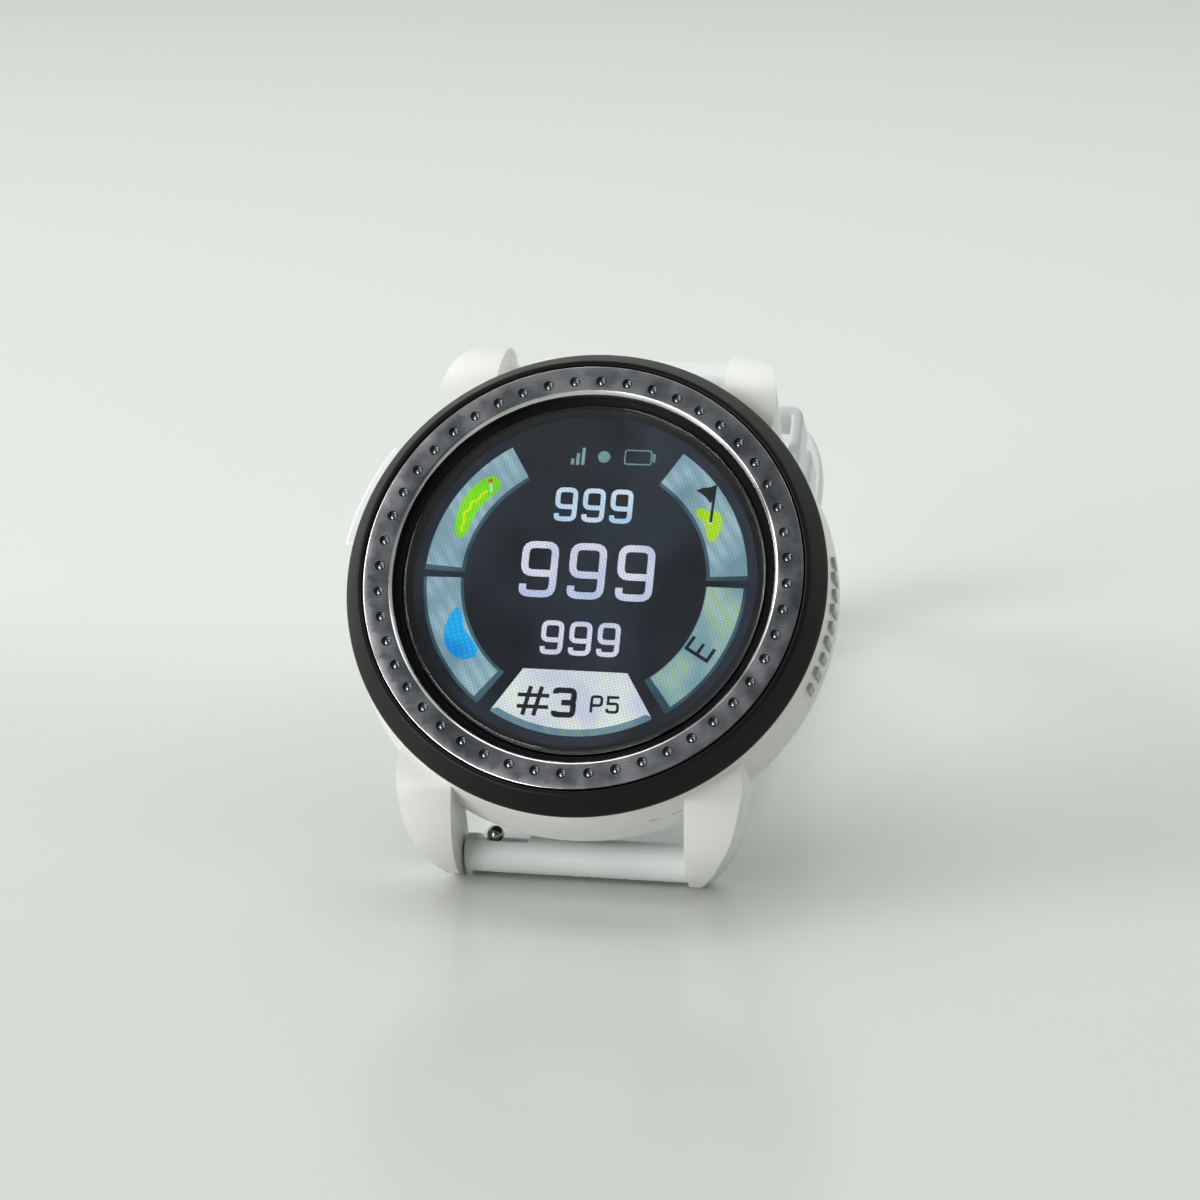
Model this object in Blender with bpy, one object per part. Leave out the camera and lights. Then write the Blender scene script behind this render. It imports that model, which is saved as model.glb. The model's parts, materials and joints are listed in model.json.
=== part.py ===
"""Golf GPS watch: a round sealed case with four lugs, an arc-shaped side button, two quick-release
strap halves, a pin buckle and two keepers.

The dial frame (x to 3 o'clock, y to 12 o'clock, z out of the glass, zero at the face of the metal
ring) hangs on the empty "watch", which leans the dial back and stands the lower lug tips on z = 0.
The strap halves are drawn in world axes from empties on their spring bars.
Lengths are written in millimetres; every mesh helper turns them into metres.
"""

import math

import bmesh
import bpy
from mathutils import Matrix, Vector

MM = 0.001

# Driving dimensions, in millimetres and degrees.
LEAN = 32.6                 # how far the dial's normal points above the horizon
RING_SEGMENTS = 80          # facets of the large round shells
GLASS_RADIUS = 17.15
RING_INNER = 18.05
RING_OUTER = 20.8
BEZEL_RADIUS = 22.85
CASE_RADIUS = 23.35
CAVITY_RADIUS = 19.6
CASE_TOP = -2.65
CASE_BOTTOM = -9.6
COVER_TOP = -9.75
COVER_CLEARANCE = 22.95     # the lugs' inner faces stay this far from the dial's axis, round the back cover
COVER_BOTTOM = -13.8
LUG_GAP = 22.0              # standard strap width
BAR_Y = 23.8                # spring bar, from the dial's centre towards 6 or 12 o'clock
BAR_Z = -13.3               # spring bar, below the ring's face
LUG_TIP_RADIUS = 2.2
LUG_DRAFT = 0.3             # the lugs' outer walls lean inwards by this much per millimetre of depth
LUG_DRAFT_FROM = -12.0      # height at which the lugs have their drawn outline
BUTTON_ANGLE = 290.5        # clockwise from 12 o'clock
BUTTON_SPAN = 26.0
BUTTON_RADIUS = 24.05
BUTTON_LOW, BUTTON_HIGH = -7.6, -3.6
BUTTON_AXIS_Z = -5.6
BARREL_RADIUS = 1.8         # strap end that wraps the spring bar
BAR_BORE = 0.95
BARREL_PROUD = 0.08         # the barrel's ends stand this far past the strap's sides
TUBE_RADIUS = 0.75
STRAP_WIDTH = 21.4
STRAP_END_WIDTH = 19.6
STRAP_THICKNESS = 2.4
LONG_HALF_FLAT = 72.0       # stretch of the long half that lies on the table
LONG_HALF_CURVE = 50.0      # radius of its moulded curve
LONG_HALF_LENGTH = 118.0
SHORT_HALF_START = 1.5      # heading of the buckle half at its bar, degrees above the horizon
SHORT_HALF_CURVE = 60.0
SHORT_HALF_ARC = 40.0
SHORT_HALF_STRAIGHT = 25.0
STRAP_RAMP = 8.0            # the long half comes down from its bar to the table over this length
TIP_LENGTH = 9.0            # rounded end of the long half
TANG_HOLES = 9
TANG_HOLE_PITCH = 6.5
FIRST_TANG_HOLE = 46.0      # along the long half, from its bar
BUCKLE_BARREL = 1.6         # strap end that wraps the buckle pin
PIN_RADIUS = 0.65
RELEASE_TRAVEL = 1.6
KNOB_X = -8.0               # release knob, along the spring bar
SCREW_ANGLES = (45.0, 135.0, 225.0, 315.0)
SCREW_CIRCLE = 21.55
CONTACT_PITCH = 2.6         # charging contacts on the back
CONTACT_Y = -13.0
SLIT_ANGLES = (159.4, 154.2)
SLIT_SIZE = (1.04, 1.6, 0.315)      # round the wall, into it, and along the dial's axis
SLIT_Z = -6.1
FRAME_SHIFT_Y = -49.83      # puts the middle of the whole length at y = 0
FRAME_SHIFT_X = 0.21        # evens out the button, which stands proud on one side only

tilt = math.radians(90.0 - LEAN)
COS, SIN = math.cos(tilt), math.sin(tilt)


def world_yz(y, z):
    """The world offset from the dial's centre of a point (y, z) of the dial frame."""
    return y * COS - z * SIN, y * SIN + z * COS


lower_bar = world_yz(-BAR_Y, BAR_Z)
upper_bar = world_yz(BAR_Y, BAR_Z)
DIAL_HEIGHT = LUG_TIP_RADIUS - lower_bar[1]


def material(name, colour, roughness, metallic=0.0):
    made = bpy.data.materials.get(name)
    if made is None:
        made = bpy.data.materials.new(name)
        made.use_nodes = True
        made.diffuse_color = (*colour, 1.0)
        shader = made.node_tree.nodes["Principled BSDF"]
        shader.inputs["Base Color"].default_value = (*colour, 1.0)
        shader.inputs["Roughness"].default_value = roughness
        shader.inputs["Metallic"].default_value = metallic
    return made


WHITE_CASE = material("white_case_resin", (0.78, 0.79, 0.76), 0.35)
WHITE_GLOSS = material("white_gloss_resin", (0.85, 0.86, 0.86), 0.15)
BLACK_SATIN = material("black_satin", (0.02, 0.019, 0.017), 0.45)
BLACK_RESIN = material("black_resin", (0.025, 0.025, 0.026), 0.5)
GUNMETAL = material("brushed_gunmetal", (0.19, 0.2, 0.21), 0.3, 1.0)
STEEL = material("polished_steel", (0.62, 0.61, 0.59), 0.2, 1.0)
GLASS = material("cover_glass", (0.02, 0.025, 0.03), 0.05)
SCREEN = material("display", (0.03, 0.05, 0.07), 0.3)
SILICONE = material("white_silicone", (0.74, 0.78, 0.78), 0.55)
RUBBER = material("black_rubber", (0.03, 0.03, 0.03), 0.7)
BOARD = material("circuit_board", (0.02, 0.12, 0.06), 0.5)
CAN = material("tinned_can", (0.55, 0.55, 0.54), 0.35, 1.0)
CERAMIC = material("antenna_ceramic", (0.62, 0.55, 0.4), 0.6)
POUCH = material("battery_pouch", (0.5, 0.51, 0.53), 0.4, 0.6)
FOAM = material("battery_foam", (0.06, 0.06, 0.07), 0.9)
GOLD = material("gold_plate", (0.83, 0.62, 0.25), 0.25, 1.0)
FLEX = material("flex_circuit", (0.55, 0.3, 0.05), 0.5)
TRAY = material("display_tray", (0.1, 0.1, 0.11), 0.5)


def empty(name, location, rotation=(0, 0, 0), parent=None):
    made = bpy.data.objects.new(name, None)
    bpy.context.scene.collection.objects.link(made)
    made.parent = parent
    made.location = Vector(location) * MM
    made.rotation_euler = rotation
    return made


def finish(bm, name, surface, parent=None, location=(0, 0, 0), rotation=(0, 0, 0), helper=False):
    """Closes a bmesh drawn in millimetres into a named object, shaded smooth over its round faces."""
    bmesh.ops.recalc_face_normals(bm, faces=bm.faces[:])
    bmesh.ops.scale(bm, vec=(MM, MM, MM), verts=bm.verts[:])
    mesh = bpy.data.meshes.new(name)
    bm.to_mesh(mesh)
    bm.free()
    mesh.shade_smooth()
    mesh.set_sharp_from_angle(angle=math.radians(35))
    made = bpy.data.objects.new(name, mesh)
    bpy.context.scene.collection.objects.link(made)
    made.parent = parent
    made.location = Vector(location) * MM
    made.rotation_euler = rotation
    if surface:
        mesh.materials.append(surface)
    if helper:
        made.hide_render = True
        made.display_type = "WIRE"
    return made


def boolean(target, tool, operation="DIFFERENCE"):
    cut = target.modifiers.new(operation.title() + "." + tool.name, "BOOLEAN")
    cut.operation = operation
    cut.object = tool
    cut.solver = "EXACT"


def bevel(target, width, segments=2, angle=40.0):
    edge = target.modifiers.new("Bevel", "BEVEL")
    edge.width = width * MM
    edge.segments = segments
    edge.limit_method = "ANGLE"
    edge.angle_limit = math.radians(angle)


def lathe(profile, segments, axis="Z"):
    """A turned solid. profile is a closed run of (radius, height); a radius of 0 is on the axis."""
    bm = bmesh.new()
    rings = []
    for radius, height in profile:
        if radius == 0:
            rings.append([bm.verts.new((0, 0, height))])
            continue
        ring = []
        for step in range(segments):
            turn = 2 * math.pi * step / segments
            ring.append(bm.verts.new((radius * math.cos(turn), radius * math.sin(turn), height)))
        rings.append(ring)
    for index, ring in enumerate(rings):
        following = rings[(index + 1) % len(rings)]
        if len(ring) == 1 and len(following) == 1:
            continue
        for step in range(segments):
            after = (step + 1) % segments
            corners = [ring[step % len(ring)], following[step % len(following)]]
            if len(following) > 1:
                corners.append(following[after])
            if len(ring) > 1:
                corners.append(ring[after])
            bm.faces.new(corners)
    if axis == "X":
        bmesh.ops.rotate(bm, verts=bm.verts[:], matrix=Matrix.Rotation(math.pi / 2, 3, "Y"))
    return bm


def prism(outline, low, high, axis="Z"):
    """An outline extruded from low to high. On axis X the outline is (y, z)."""
    bm = bmesh.new()

    def point(pair, depth):
        if axis == "X":
            return (depth, pair[0], pair[1])
        return (pair[0], pair[1], depth)

    base = [bm.verts.new(point(pair, low)) for pair in outline]
    top = [bm.verts.new(point(pair, high)) for pair in outline]
    bm.faces.new(base)
    bm.faces.new(top)
    for index in range(len(outline)):
        after = (index + 1) % len(outline)
        bm.faces.new((base[index], base[after], top[after], top[index]))
    return bm


def block(size, centre):
    bm = bmesh.new()
    bmesh.ops.create_cube(bm, size=1.0)
    bmesh.ops.scale(bm, vec=size, verts=bm.verts[:])
    bmesh.ops.translate(bm, vec=centre, verts=bm.verts[:])
    return bm


def loft(sections):
    """Bridges equal closed rings of points into one capped solid."""
    bm = bmesh.new()
    rings = [[bm.verts.new(point) for point in section] for section in sections]
    bm.faces.new(rings[0])
    bm.faces.new(rings[-1])
    for ring, following in zip(rings, rings[1:]):
        for index in range(len(ring)):
            after = (index + 1) % len(ring)
            bm.faces.new((ring[index], ring[after], following[after], following[index]))
    return bm


def coil(radius, wire, start, end, turns, sides=5, steps=9):
    """A compression spring along +X."""
    sections = []
    count = turns * steps
    for index in range(count + 1):
        turn = 2 * math.pi * index / steps
        along = start + wire + (end - start - 2 * wire) * index / count
        outward = Vector((0, math.cos(turn), math.sin(turn)))
        middle = outward * radius + Vector((along, 0, 0))
        ring = []
        for side in range(sides):
            around = 2 * math.pi * side / sides
            ring.append(middle + outward * wire * math.cos(around) + Vector((wire * math.sin(around), 0, 0)))
        sections.append(ring)
    return loft(sections)


def arc(centre, radius, first, last, steps):
    """Points on an arc, angles in degrees counterclockwise from the first axis."""
    points = []
    for step in range(steps + 1):
        turn = math.radians(first + (last - first) * step / steps)
        points.append((centre[0] + radius * math.cos(turn), centre[1] + radius * math.sin(turn)))
    return points


def clock(angle, radius):
    """A dial point at an angle clockwise from 12 o'clock."""
    return radius * math.sin(math.radians(angle)), radius * math.cos(math.radians(angle))


# ---------------------------------------------------------------- case

def lug(name, side, end, parent):
    """One lug: a curved side profile, trimmed to its crescent front outline. side and end are +1 or -1."""
    profile = [(15.0, -3.5), (19.4, -3.7), (21.8, -4.6), (24.4, -6.7), (26.0, -9.4), (26.4, -12.0)]
    profile += arc((BAR_Y, BAR_Z), LUG_TIP_RADIUS, 0, -150, 6)
    profile += [(20.6, -12.2), (18.6, -10.6), (15.0, -9.5)]
    outline = [(LUG_GAP / 2, 11.0), (LUG_GAP / 2, 27.4), (12.1, 26.4), (13.4, 25.2), (14.5, 23.5)]
    outline += [(15.3, 21.9), (15.8, 20.1), (16.2, 17.8), (16.3, 15.5), (15.6, 11.0)]
    plate = prism([(y * end, z) for y, z in profile], 0.0, 20.0 * side, axis="X")
    plate = finish(plate, name, None, parent, helper=True)
    front = prism([(x * side, y * end) for x, y in outline], -20.0, 2.0)
    for corner in front.verts:
        corner.co.y += end * LUG_DRAFT * (corner.co.z - LUG_DRAFT_FROM)
    front = finish(front, name + "_outline", None, parent, helper=True)
    boolean(plate, front, "INTERSECT")
    return plate


def button_outline(inner, outer, widen):
    """The arc-shaped footprint of the button, or of its pocket, between two radii."""
    first = BUTTON_ANGLE - BUTTON_SPAN / 2 - widen
    last = BUTTON_ANGLE + BUTTON_SPAN / 2 + widen
    steps = 12
    angles = [first + (last - first) * step / steps for step in range(steps + 1)]
    return [clock(angle, outer) for angle in angles] + [clock(angle, inner) for angle in reversed(angles)]


def button_axis_matrix():
    """Turns +X onto the button's outward direction, with the origin on its axis at the dial's centre line."""
    out = Vector((*clock(BUTTON_ANGLE, 1.0), 0.0))
    return (0, 0, math.atan2(out.y, out.x))


def mid_case(parent):
    outer = [(0, CASE_TOP), (22.3, CASE_TOP), (22.75, -2.9), (22.95, -4.6), (23.2, -7.0), (CASE_RADIUS, -8.7)]
    outer += [(23.22, -9.3), (22.85, CASE_BOTTOM), (0, CASE_BOTTOM)]
    made = finish(lathe(outer, RING_SEGMENTS), "mid_case", WHITE_CASE, parent)
    for side in (-1, 1):
        for end in (-1, 1):
            boolean(made, lug(f"lug_{side}_{end}", side, end, parent), "UNION")
    hollow = [(0, 1.0), (20.75, 1.0), (20.75, -3.9), (CAVITY_RADIUS, -3.9), (CAVITY_RADIUS, CASE_BOTTOM - 0.02)]
    hollow += [(COVER_CLEARANCE, CASE_BOTTOM - 0.02), (COVER_CLEARANCE, -17.0), (0, -17.0)]
    boolean(made, finish(lathe(hollow, RING_SEGMENTS), "case_hollow", None, parent, helper=True))
    pocket = prism(button_outline(21.4, 26.0, 0.6), BUTTON_LOW - 0.2, BUTTON_HIGH + 0.2)
    boolean(made, finish(pocket, "button_pocket", None, parent, helper=True))
    turned = button_axis_matrix()
    well = lathe([(0, 18.0), (1.1, 18.0), (1.1, 20.5), (1.7, 20.5), (1.7, 22.0), (0, 22.0)], 16, axis="X")
    boolean(made, finish(well, "button_well", None, parent, (0, 0, BUTTON_AXIS_Z), turned, helper=True))
    for end in (-1, 1):
        hole = lathe([(0, -12.4), (0.6, -12.4), (0.6, 12.4), (0, 12.4)], 12, axis="X")
        place = (0, BAR_Y * end, BAR_Z)
        boolean(made, finish(hole, f"bar_holes_{end}", None, parent, place, helper=True))
    for index, angle in enumerate(SCREW_ANGLES):
        hole = lathe([(0, -10.5), (0.65, -10.5), (0.65, -7.2), (0, -7.2)], 12)
        place = (*clock(angle, SCREW_CIRCLE), 0)
        boolean(made, finish(hole, f"screw_hole_{index}", None, parent, place, helper=True))
    for index, angle in enumerate(SLIT_ANGLES):
        slit = block(SLIT_SIZE, (0, 0, 0))
        place = (*clock(angle, CASE_RADIUS), SLIT_Z)
        turn = (0, 0, math.radians(180.0 - angle))
        boolean(made, finish(slit, f"vent_slit_{index}", None, parent, place, turn, helper=True))
    return made


def case_shells(parent):
    bezel = [(17.35, -1.25), (17.35, -2.1), (17.0, -2.1), (17.0, -2.5), (18.9, -2.5), (18.9, -3.15)]
    bezel += [(20.5, -3.15), (20.5, -2.5), (22.6, -2.5), (BEZEL_RADIUS, -2.3), (22.72, -2.0), (21.42, -0.1)]
    bezel += [(21.2, 0.0), (20.95, -0.05), (20.95, -1.25)]
    finish(lathe(bezel, RING_SEGMENTS), "outer_bezel", BLACK_SATIN, parent)
    ring = [(RING_INNER, -0.35), (RING_INNER + 0.35, 0.0), (RING_OUTER - 0.1, 0.0), (RING_OUTER, -0.1)]
    ring += [(RING_OUTER, -1.15), (RING_INNER, -1.15)]
    finish(lathe(ring, RING_SEGMENTS), "dimpled_ring", GUNMETAL, parent)
    glass = [(0, -0.7), (GLASS_RADIUS - 0.25, -0.7), (GLASS_RADIUS, -0.95), (GLASS_RADIUS, -1.9), (0, -1.9)]
    finish(lathe(glass, RING_SEGMENTS), "cover_glass", GLASS, parent)
    gasket = [(19.75, -3.25), (20.45, -3.25), (20.45, -3.8), (19.75, -3.8)]
    finish(lathe(gasket, 64), "bezel_gasket", RUBBER, parent)
    cover = [(0, -12.6), (19.0, -12.6), (19.0, -9.0), (19.4, -9.0), (19.4, COVER_TOP), (19.65, COVER_TOP)]
    cover += [(19.65, -10.35), (20.5, -10.35), (20.5, COVER_TOP), (22.5, COVER_TOP), (22.7, -10.0)]
    cover += [(22.45, -11.0), (20.7, -11.2), (20.0, -13.2), (19.3, COVER_BOTTOM), (0, COVER_BOTTOM)]
    back = finish(lathe(cover, RING_SEGMENTS), "back_cover", BLACK_RESIN, parent)
    seal = [(19.75, -9.7), (20.4, -9.7), (20.4, -10.25), (19.75, -10.25)]
    finish(lathe(seal, 64), "back_gasket", RUBBER, parent)
    for index, angle in enumerate(SCREW_ANGLES):
        place = (*clock(angle, SCREW_CIRCLE), 0)
        bore = lathe([(0, -9.0), (0.75, -9.0), (0.75, -10.6), (1.35, -10.6), (1.35, -13.0), (0, -13.0)], 16)
        boolean(back, finish(bore, f"cover_bore_{index}", None, parent, place, helper=True))
        body = [(0, -7.5), (0.5, -7.5), (0.5, -10.65), (1.2, -10.65), (1.2, -11.1), (1.0, -11.3)]
        body += [(0.5, -11.3), (0.5, -10.95), (0, -10.95)]
        finish(lathe(body, 16), f"back_screw_{index + 1}", STEEL, parent, place)
    for index in range(4):
        place = (CONTACT_PITCH * (index - 1.5), CONTACT_Y, 0)
        bore = lathe([(0, -12.0), (0.9, -12.0), (0.9, -14.5), (0, -14.5)], 16)
        boolean(back, finish(bore, f"contact_bore_{index}", None, parent, place, helper=True))
        pad = [(0, -12.0), (0.55, -12.0), (0.55, -12.5), (0.75, -12.7), (0.75, -13.75), (0, -13.75)]
        finish(lathe(pad, 16), f"charging_contact_{index + 1}", GOLD, parent, place)


# ---------------------------------------------------------------- inside the case

def case_insides(parent):
    film = [(0, -1.95), (16.75, -1.95), (16.75, -2.15), (0, -2.15)]
    finish(lathe(film, 64), "touch_film", BLACK_RESIN, parent)
    panel = [(0, -2.25), (16.55, -2.25), (16.55, -3.35), (0, -3.35)]
    finish(lathe(panel, 64), "display_panel", SCREEN, parent)
    tray = [(0, -3.45), (17.0, -3.45), (17.0, -2.75), (18.4, -2.75), (18.4, -4.5), (0, -4.5)]
    tray = finish(lathe(tray, 48), "display_tray", TRAY, parent)
    notch = block((8.0, 4.0, 4.0), (0, -18.2, -3.5))
    boolean(tray, finish(notch, "flex_notch", None, parent, helper=True))
    # The ribbon folds round the tray's edge through its notch, down to the board.
    ribbon = [(-16.2, -3.6), (-18.0, -3.6), (-18.65, -4.0), (-18.65, -4.6), (-18.2, -5.0), (-15.2, -5.0)]
    ribbon += [(-15.2, -4.88), (-18.1, -4.88), (-18.5, -4.55), (-18.5, -4.08), (-17.95, -3.72), (-16.2, -3.72)]
    finish(prism(ribbon, -3.0, 3.0, axis="X"), "display_flex", FLEX, parent)
    board = finish(lathe([(0, -5.2), (18.0, -5.2), (18.0, -6.1), (0, -6.1)], 48), "main_board", BOARD, parent)
    cut = block((8.0, 4.6, 3.0), (18.2, 0, 0))
    turned = button_axis_matrix()
    place = (0, 0, BUTTON_AXIS_Z)
    boolean(board, finish(cut, "switch_notch", None, parent, place, turned, helper=True))
    switch = block((2.2, 3.8, 1.8), (15.6, 0, 0))
    outer_face = max(switch.faces, key=lambda face: face.calc_center_median().x)
    bmesh.ops.inset_region(switch, faces=[outer_face], thickness=0.5)
    raised = bmesh.ops.extrude_face_region(switch, geom=[outer_face])["geom"]
    raised = [piece for piece in raised if isinstance(piece, bmesh.types.BMVert)]
    bmesh.ops.translate(switch, vec=(0.7, 0, 0), verts=raised)
    bmesh.ops.delete(switch, geom=[outer_face], context="FACES")
    finish(switch, "tact_switch", TRAY, parent, place, turned)
    parts = {
        "processor_can": ((10.0, 10.0, 1.2), (-5.6, 5.0, -6.8), CAN),
        "gps_receiver_can": ((8.6, 8.6, 1.2), (6.0, 5.2, -6.8), CAN),
        "gps_patch_antenna": ((9.5, 5.6, 3.0), (4.6, 13.4, -7.75), CERAMIC),
        "radio_antenna": ((5.0, 1.6, 0.9), (-7.0, 14.2, -6.65), CERAMIC),
        "battery_foam": ((20.0, 14.0, 0.4), (0.5, 0.0, -7.75), FOAM),
        "battery_cell": ((24.0, 18.6, 4.2), (0.5, 0.0, -10.2), POUCH),
        "contact_board": ((11.5, 3.4, 0.6), (0.0, CONTACT_Y, -11.55), BOARD),
    }
    for name, (size, centre, surface) in parts.items():
        made = finish(block(size, centre), name, surface, parent)
        if name == "battery_cell":
            bevel(made, 0.8)


# ---------------------------------------------------------------- button

def side_button(parent):
    """The cap, its stem and clip, and the spring in its well; all slide along the button's axis."""
    axis = empty("button_axis", (0, 0, BUTTON_AXIS_Z), button_axis_matrix(), parent)
    cap = prism(button_outline(22.45, BUTTON_RADIUS, 0.0), BUTTON_LOW, BUTTON_HIGH)
    bmesh.ops.translate(cap, vec=(0, 0, -BUTTON_AXIS_Z), verts=cap.verts[:])
    unturn = Matrix.Rotation(-button_axis_matrix()[2], 3, "Z")
    bmesh.ops.rotate(cap, verts=cap.verts[:], matrix=unturn)
    bevel(finish(cap, "button_cap", WHITE_GLOSS, axis), 0.45, 3)
    stem = [(0, 18.05), (0.7, 18.05), (0.7, 18.9), (0.55, 18.9), (0.55, 19.3), (0.9, 19.3), (0.9, 19.75)]
    stem += [(0.65, 19.75), (0.65, 20.25), (0.9, 20.25), (0.9, 22.3), (0, 22.3)]
    finish(lathe(stem, 16, axis="X"), "button_stem", STEEL, axis)
    ring = []
    for step in range(8):
        turn = 2 * math.pi * step / 8
        ring.append((0.88 + 0.17 * math.cos(turn), 20.0 + 0.17 * math.sin(turn)))
    finish(lathe(ring, 16, axis="X"), "button_seal", RUBBER, axis)
    spring = coil(1.3, 0.14, 20.55, 22.4, 4)
    finish(spring, "button_spring", STEEL, axis)
    clip = [(math.cos(turn), math.sin(turn)) for turn in (math.radians(40 + 280 * step / 14) for step in range(15))]
    outline = [(1.6 * y, 1.6 * z) for y, z in clip] + [(0.65 * y, 0.65 * z) for y, z in reversed(clip)]
    finish(prism(outline, 19.0, 19.2, axis="X"), "button_clip", STEEL, axis)


# ---------------------------------------------------------------- strap

def strap_section(point, heading, half_width, half_thickness, chamfer):
    """Eight corners across the strap at a point (y, z) of its middle line."""
    along = Vector((0, math.cos(heading), math.sin(heading)))
    normal = Vector((0, -along.z, along.y))
    middle = Vector((0, *point))
    corners = []
    for x, n in ((1, -1), (1, 1), (-1, 1), (-1, -1)):
        first = (x * (half_width - chamfer), n * half_thickness)
        second = (x * half_width, n * (half_thickness - chamfer))
        pair = [first, second] if x * n < 0 else [second, first]
        corners += pair
    return [middle + Vector((x, 0, 0)) + normal * n for x, n in corners]


def walk(start, heading, stretches):
    """Stations (distance, point, heading) along straight and curved stretches of (length, radius, steps)."""
    y, z = start
    travelled = 0.0
    stations = [(travelled, (y, z), heading)]
    for length, radius, steps in stretches:
        for _ in range(steps):
            step = length / steps
            turn = step / radius if radius else 0.0
            heading += turn / 2
            y += step * math.cos(heading)
            z += step * math.sin(heading)
            heading += turn / 2
            travelled += step
            stations.append((travelled, (y, z), heading))
    return stations


def strap_width(distance, length):
    return STRAP_WIDTH + (STRAP_END_WIDTH - STRAP_WIDTH) * min(1.0, distance / length)


def add_barrel(strap, name, parent, radius, bore, width, place=(0, 0, 0)):
    """Joins a barrel across the strap's end and bores it for its bar."""
    half = width / 2 + BARREL_PROUD
    shell = lathe([(0, -half), (radius - 0.3, -half), (radius, 0.3 - half),
                   (radius, half - 0.3), (radius - 0.3, half), (0, half)], 24, axis="X")
    boolean(strap, finish(shell, name + "_barrel", None, parent, place, helper=True), "UNION")
    hole = lathe([(0, -14.0), (bore, -14.0), (bore, 14.0), (0, 14.0)], 16, axis="X")
    boolean(strap, finish(hole, name + "_bore", None, parent, place, helper=True))


def spring_bar(prefix, parent, knob_side):
    """A quick-release bar: tube, fixed pin, spring, and the pin with its knob. knob_side is +1 up or -1 down."""
    tube = finish(lathe([(0.47, -9.6), (TUBE_RADIUS, -9.6), (TUBE_RADIUS, 9.8), (0.47, 9.8)], 16, axis="X"),
                  prefix + "_bar_tube", STEEL, parent)
    low, high = sorted((0.0, 2.0 * knob_side))
    slot = block((1.1 + RELEASE_TRAVEL + 0.4, 1.2, high - low),
                 (KNOB_X + RELEASE_TRAVEL / 2, 0, (low + high) / 2))
    boolean(tube, finish(slot, prefix + "_tube_slot", None, parent, helper=True))
    pin = finish(lathe([(0, -12.0), (0.36, -11.85), (0.36, -1.0), (0, -1.0)], 12, axis="X"),
                 prefix + "_release_pin", STEEL, parent)
    knob = [(0, 0), (0.4, 0), (0.4, 1.15), (0.62, 1.3), (0.82, 1.6), (0.88, 1.9), (0.8, 2.25), (0.5, 2.6), (0, 2.7)]
    if knob_side < 0:
        knob = [(radius, -height) for radius, height in knob]
    knob = finish(lathe(knob, 16), prefix + "_knob", None, parent, (KNOB_X, 0, 0), helper=True)
    boolean(pin, knob, "UNION")
    finish(lathe([(0, 12.0), (0.36, 11.85), (0.36, 8.2), (0, 8.2)], 12, axis="X"),
           prefix + "_fixed_pin", STEEL, parent)
    finish(coil(0.28, 0.07, -0.9, 8.1, 9, sides=4, steps=8), prefix + "_bar_spring", STEEL, parent)


def knob_notch(strap, name, parent, knob_side):
    notch = block((4.4, 4.6, 3.0), (KNOB_X + RELEASE_TRAVEL / 2, 0, knob_side * 1.9))
    boolean(strap, finish(notch, name, None, parent, helper=True))


def long_half(parent):
    """The hole half: from the lower bar back along the table, then up in its moulded curve."""
    drop = LUG_TIP_RADIUS - STRAP_THICKNESS / 2
    landing = (STRAP_RAMP, -drop)
    stations = [(0.0, (0.0, -0.35), 0.0), (2.4, (2.4, -0.65), 0.0), (5.0, (5.0, -0.9), 0.0)]
    stations.append((STRAP_RAMP, landing, 0.0))
    stretches = [(LONG_HALF_FLAT - STRAP_RAMP, 0, 4), (LONG_HALF_LENGTH - LONG_HALF_FLAT, LONG_HALF_CURVE, 18)]
    for distance, point, heading in walk(landing, 0.0, stretches)[1:]:
        stations.append((distance + STRAP_RAMP, point, heading))
    sections = []
    for distance, point, heading in stations:
        half = strap_width(distance, LONG_HALF_LENGTH) / 2
        left = LONG_HALF_LENGTH - distance
        if left < TIP_LENGTH:
            share = min(0.995, 1 - left / TIP_LENGTH)
            half = half * (0.45 + 0.55 * math.sqrt(1 - share ** 2))
        thick = STRAP_THICKNESS / 2 + max(0.0, 0.35 * (1 - distance / 6.0))
        sections.append(strap_section(point, heading, half, thick, 0.35))
    strap = finish(loft(sections), "strap_long_half", SILICONE, parent)
    add_barrel(strap, "long_half", parent, BARREL_RADIUS, BAR_BORE, STRAP_WIDTH)
    knob_notch(strap, "long_half_notch", parent, 1)
    for index in range(TANG_HOLES):
        distance = FIRST_TANG_HOLE + TANG_HOLE_PITCH * index
        spot = walk(landing, 0.0, [(min(distance, LONG_HALF_FLAT) - STRAP_RAMP, 0, 1)])[-1]
        if distance > LONG_HALF_FLAT:
            spot = walk(spot[1], spot[2], [(distance - LONG_HALF_FLAT, LONG_HALF_CURVE, 6)])[-1]
        tool = lathe([(0, -3.0), (1.15, -3.0), (1.15, 3.0), (0, 3.0)], 12)
        tool = finish(tool, f"tang_hole_{index}", None, parent, (0, *spot[1]), (spot[2], 0, 0), helper=True)
        tool.scale = (1.0, 1.5, 1.0)
        boolean(strap, tool)


def short_half_line():
    """The middle line of the buckle half, from its bar to the buckle pin, in the bar's frame."""
    return walk((0.0, 0.0), math.radians(SHORT_HALF_START), [
        (SHORT_HALF_ARC, -SHORT_HALF_CURVE, 14), (SHORT_HALF_STRAIGHT, 0, 4)
    ])


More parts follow.
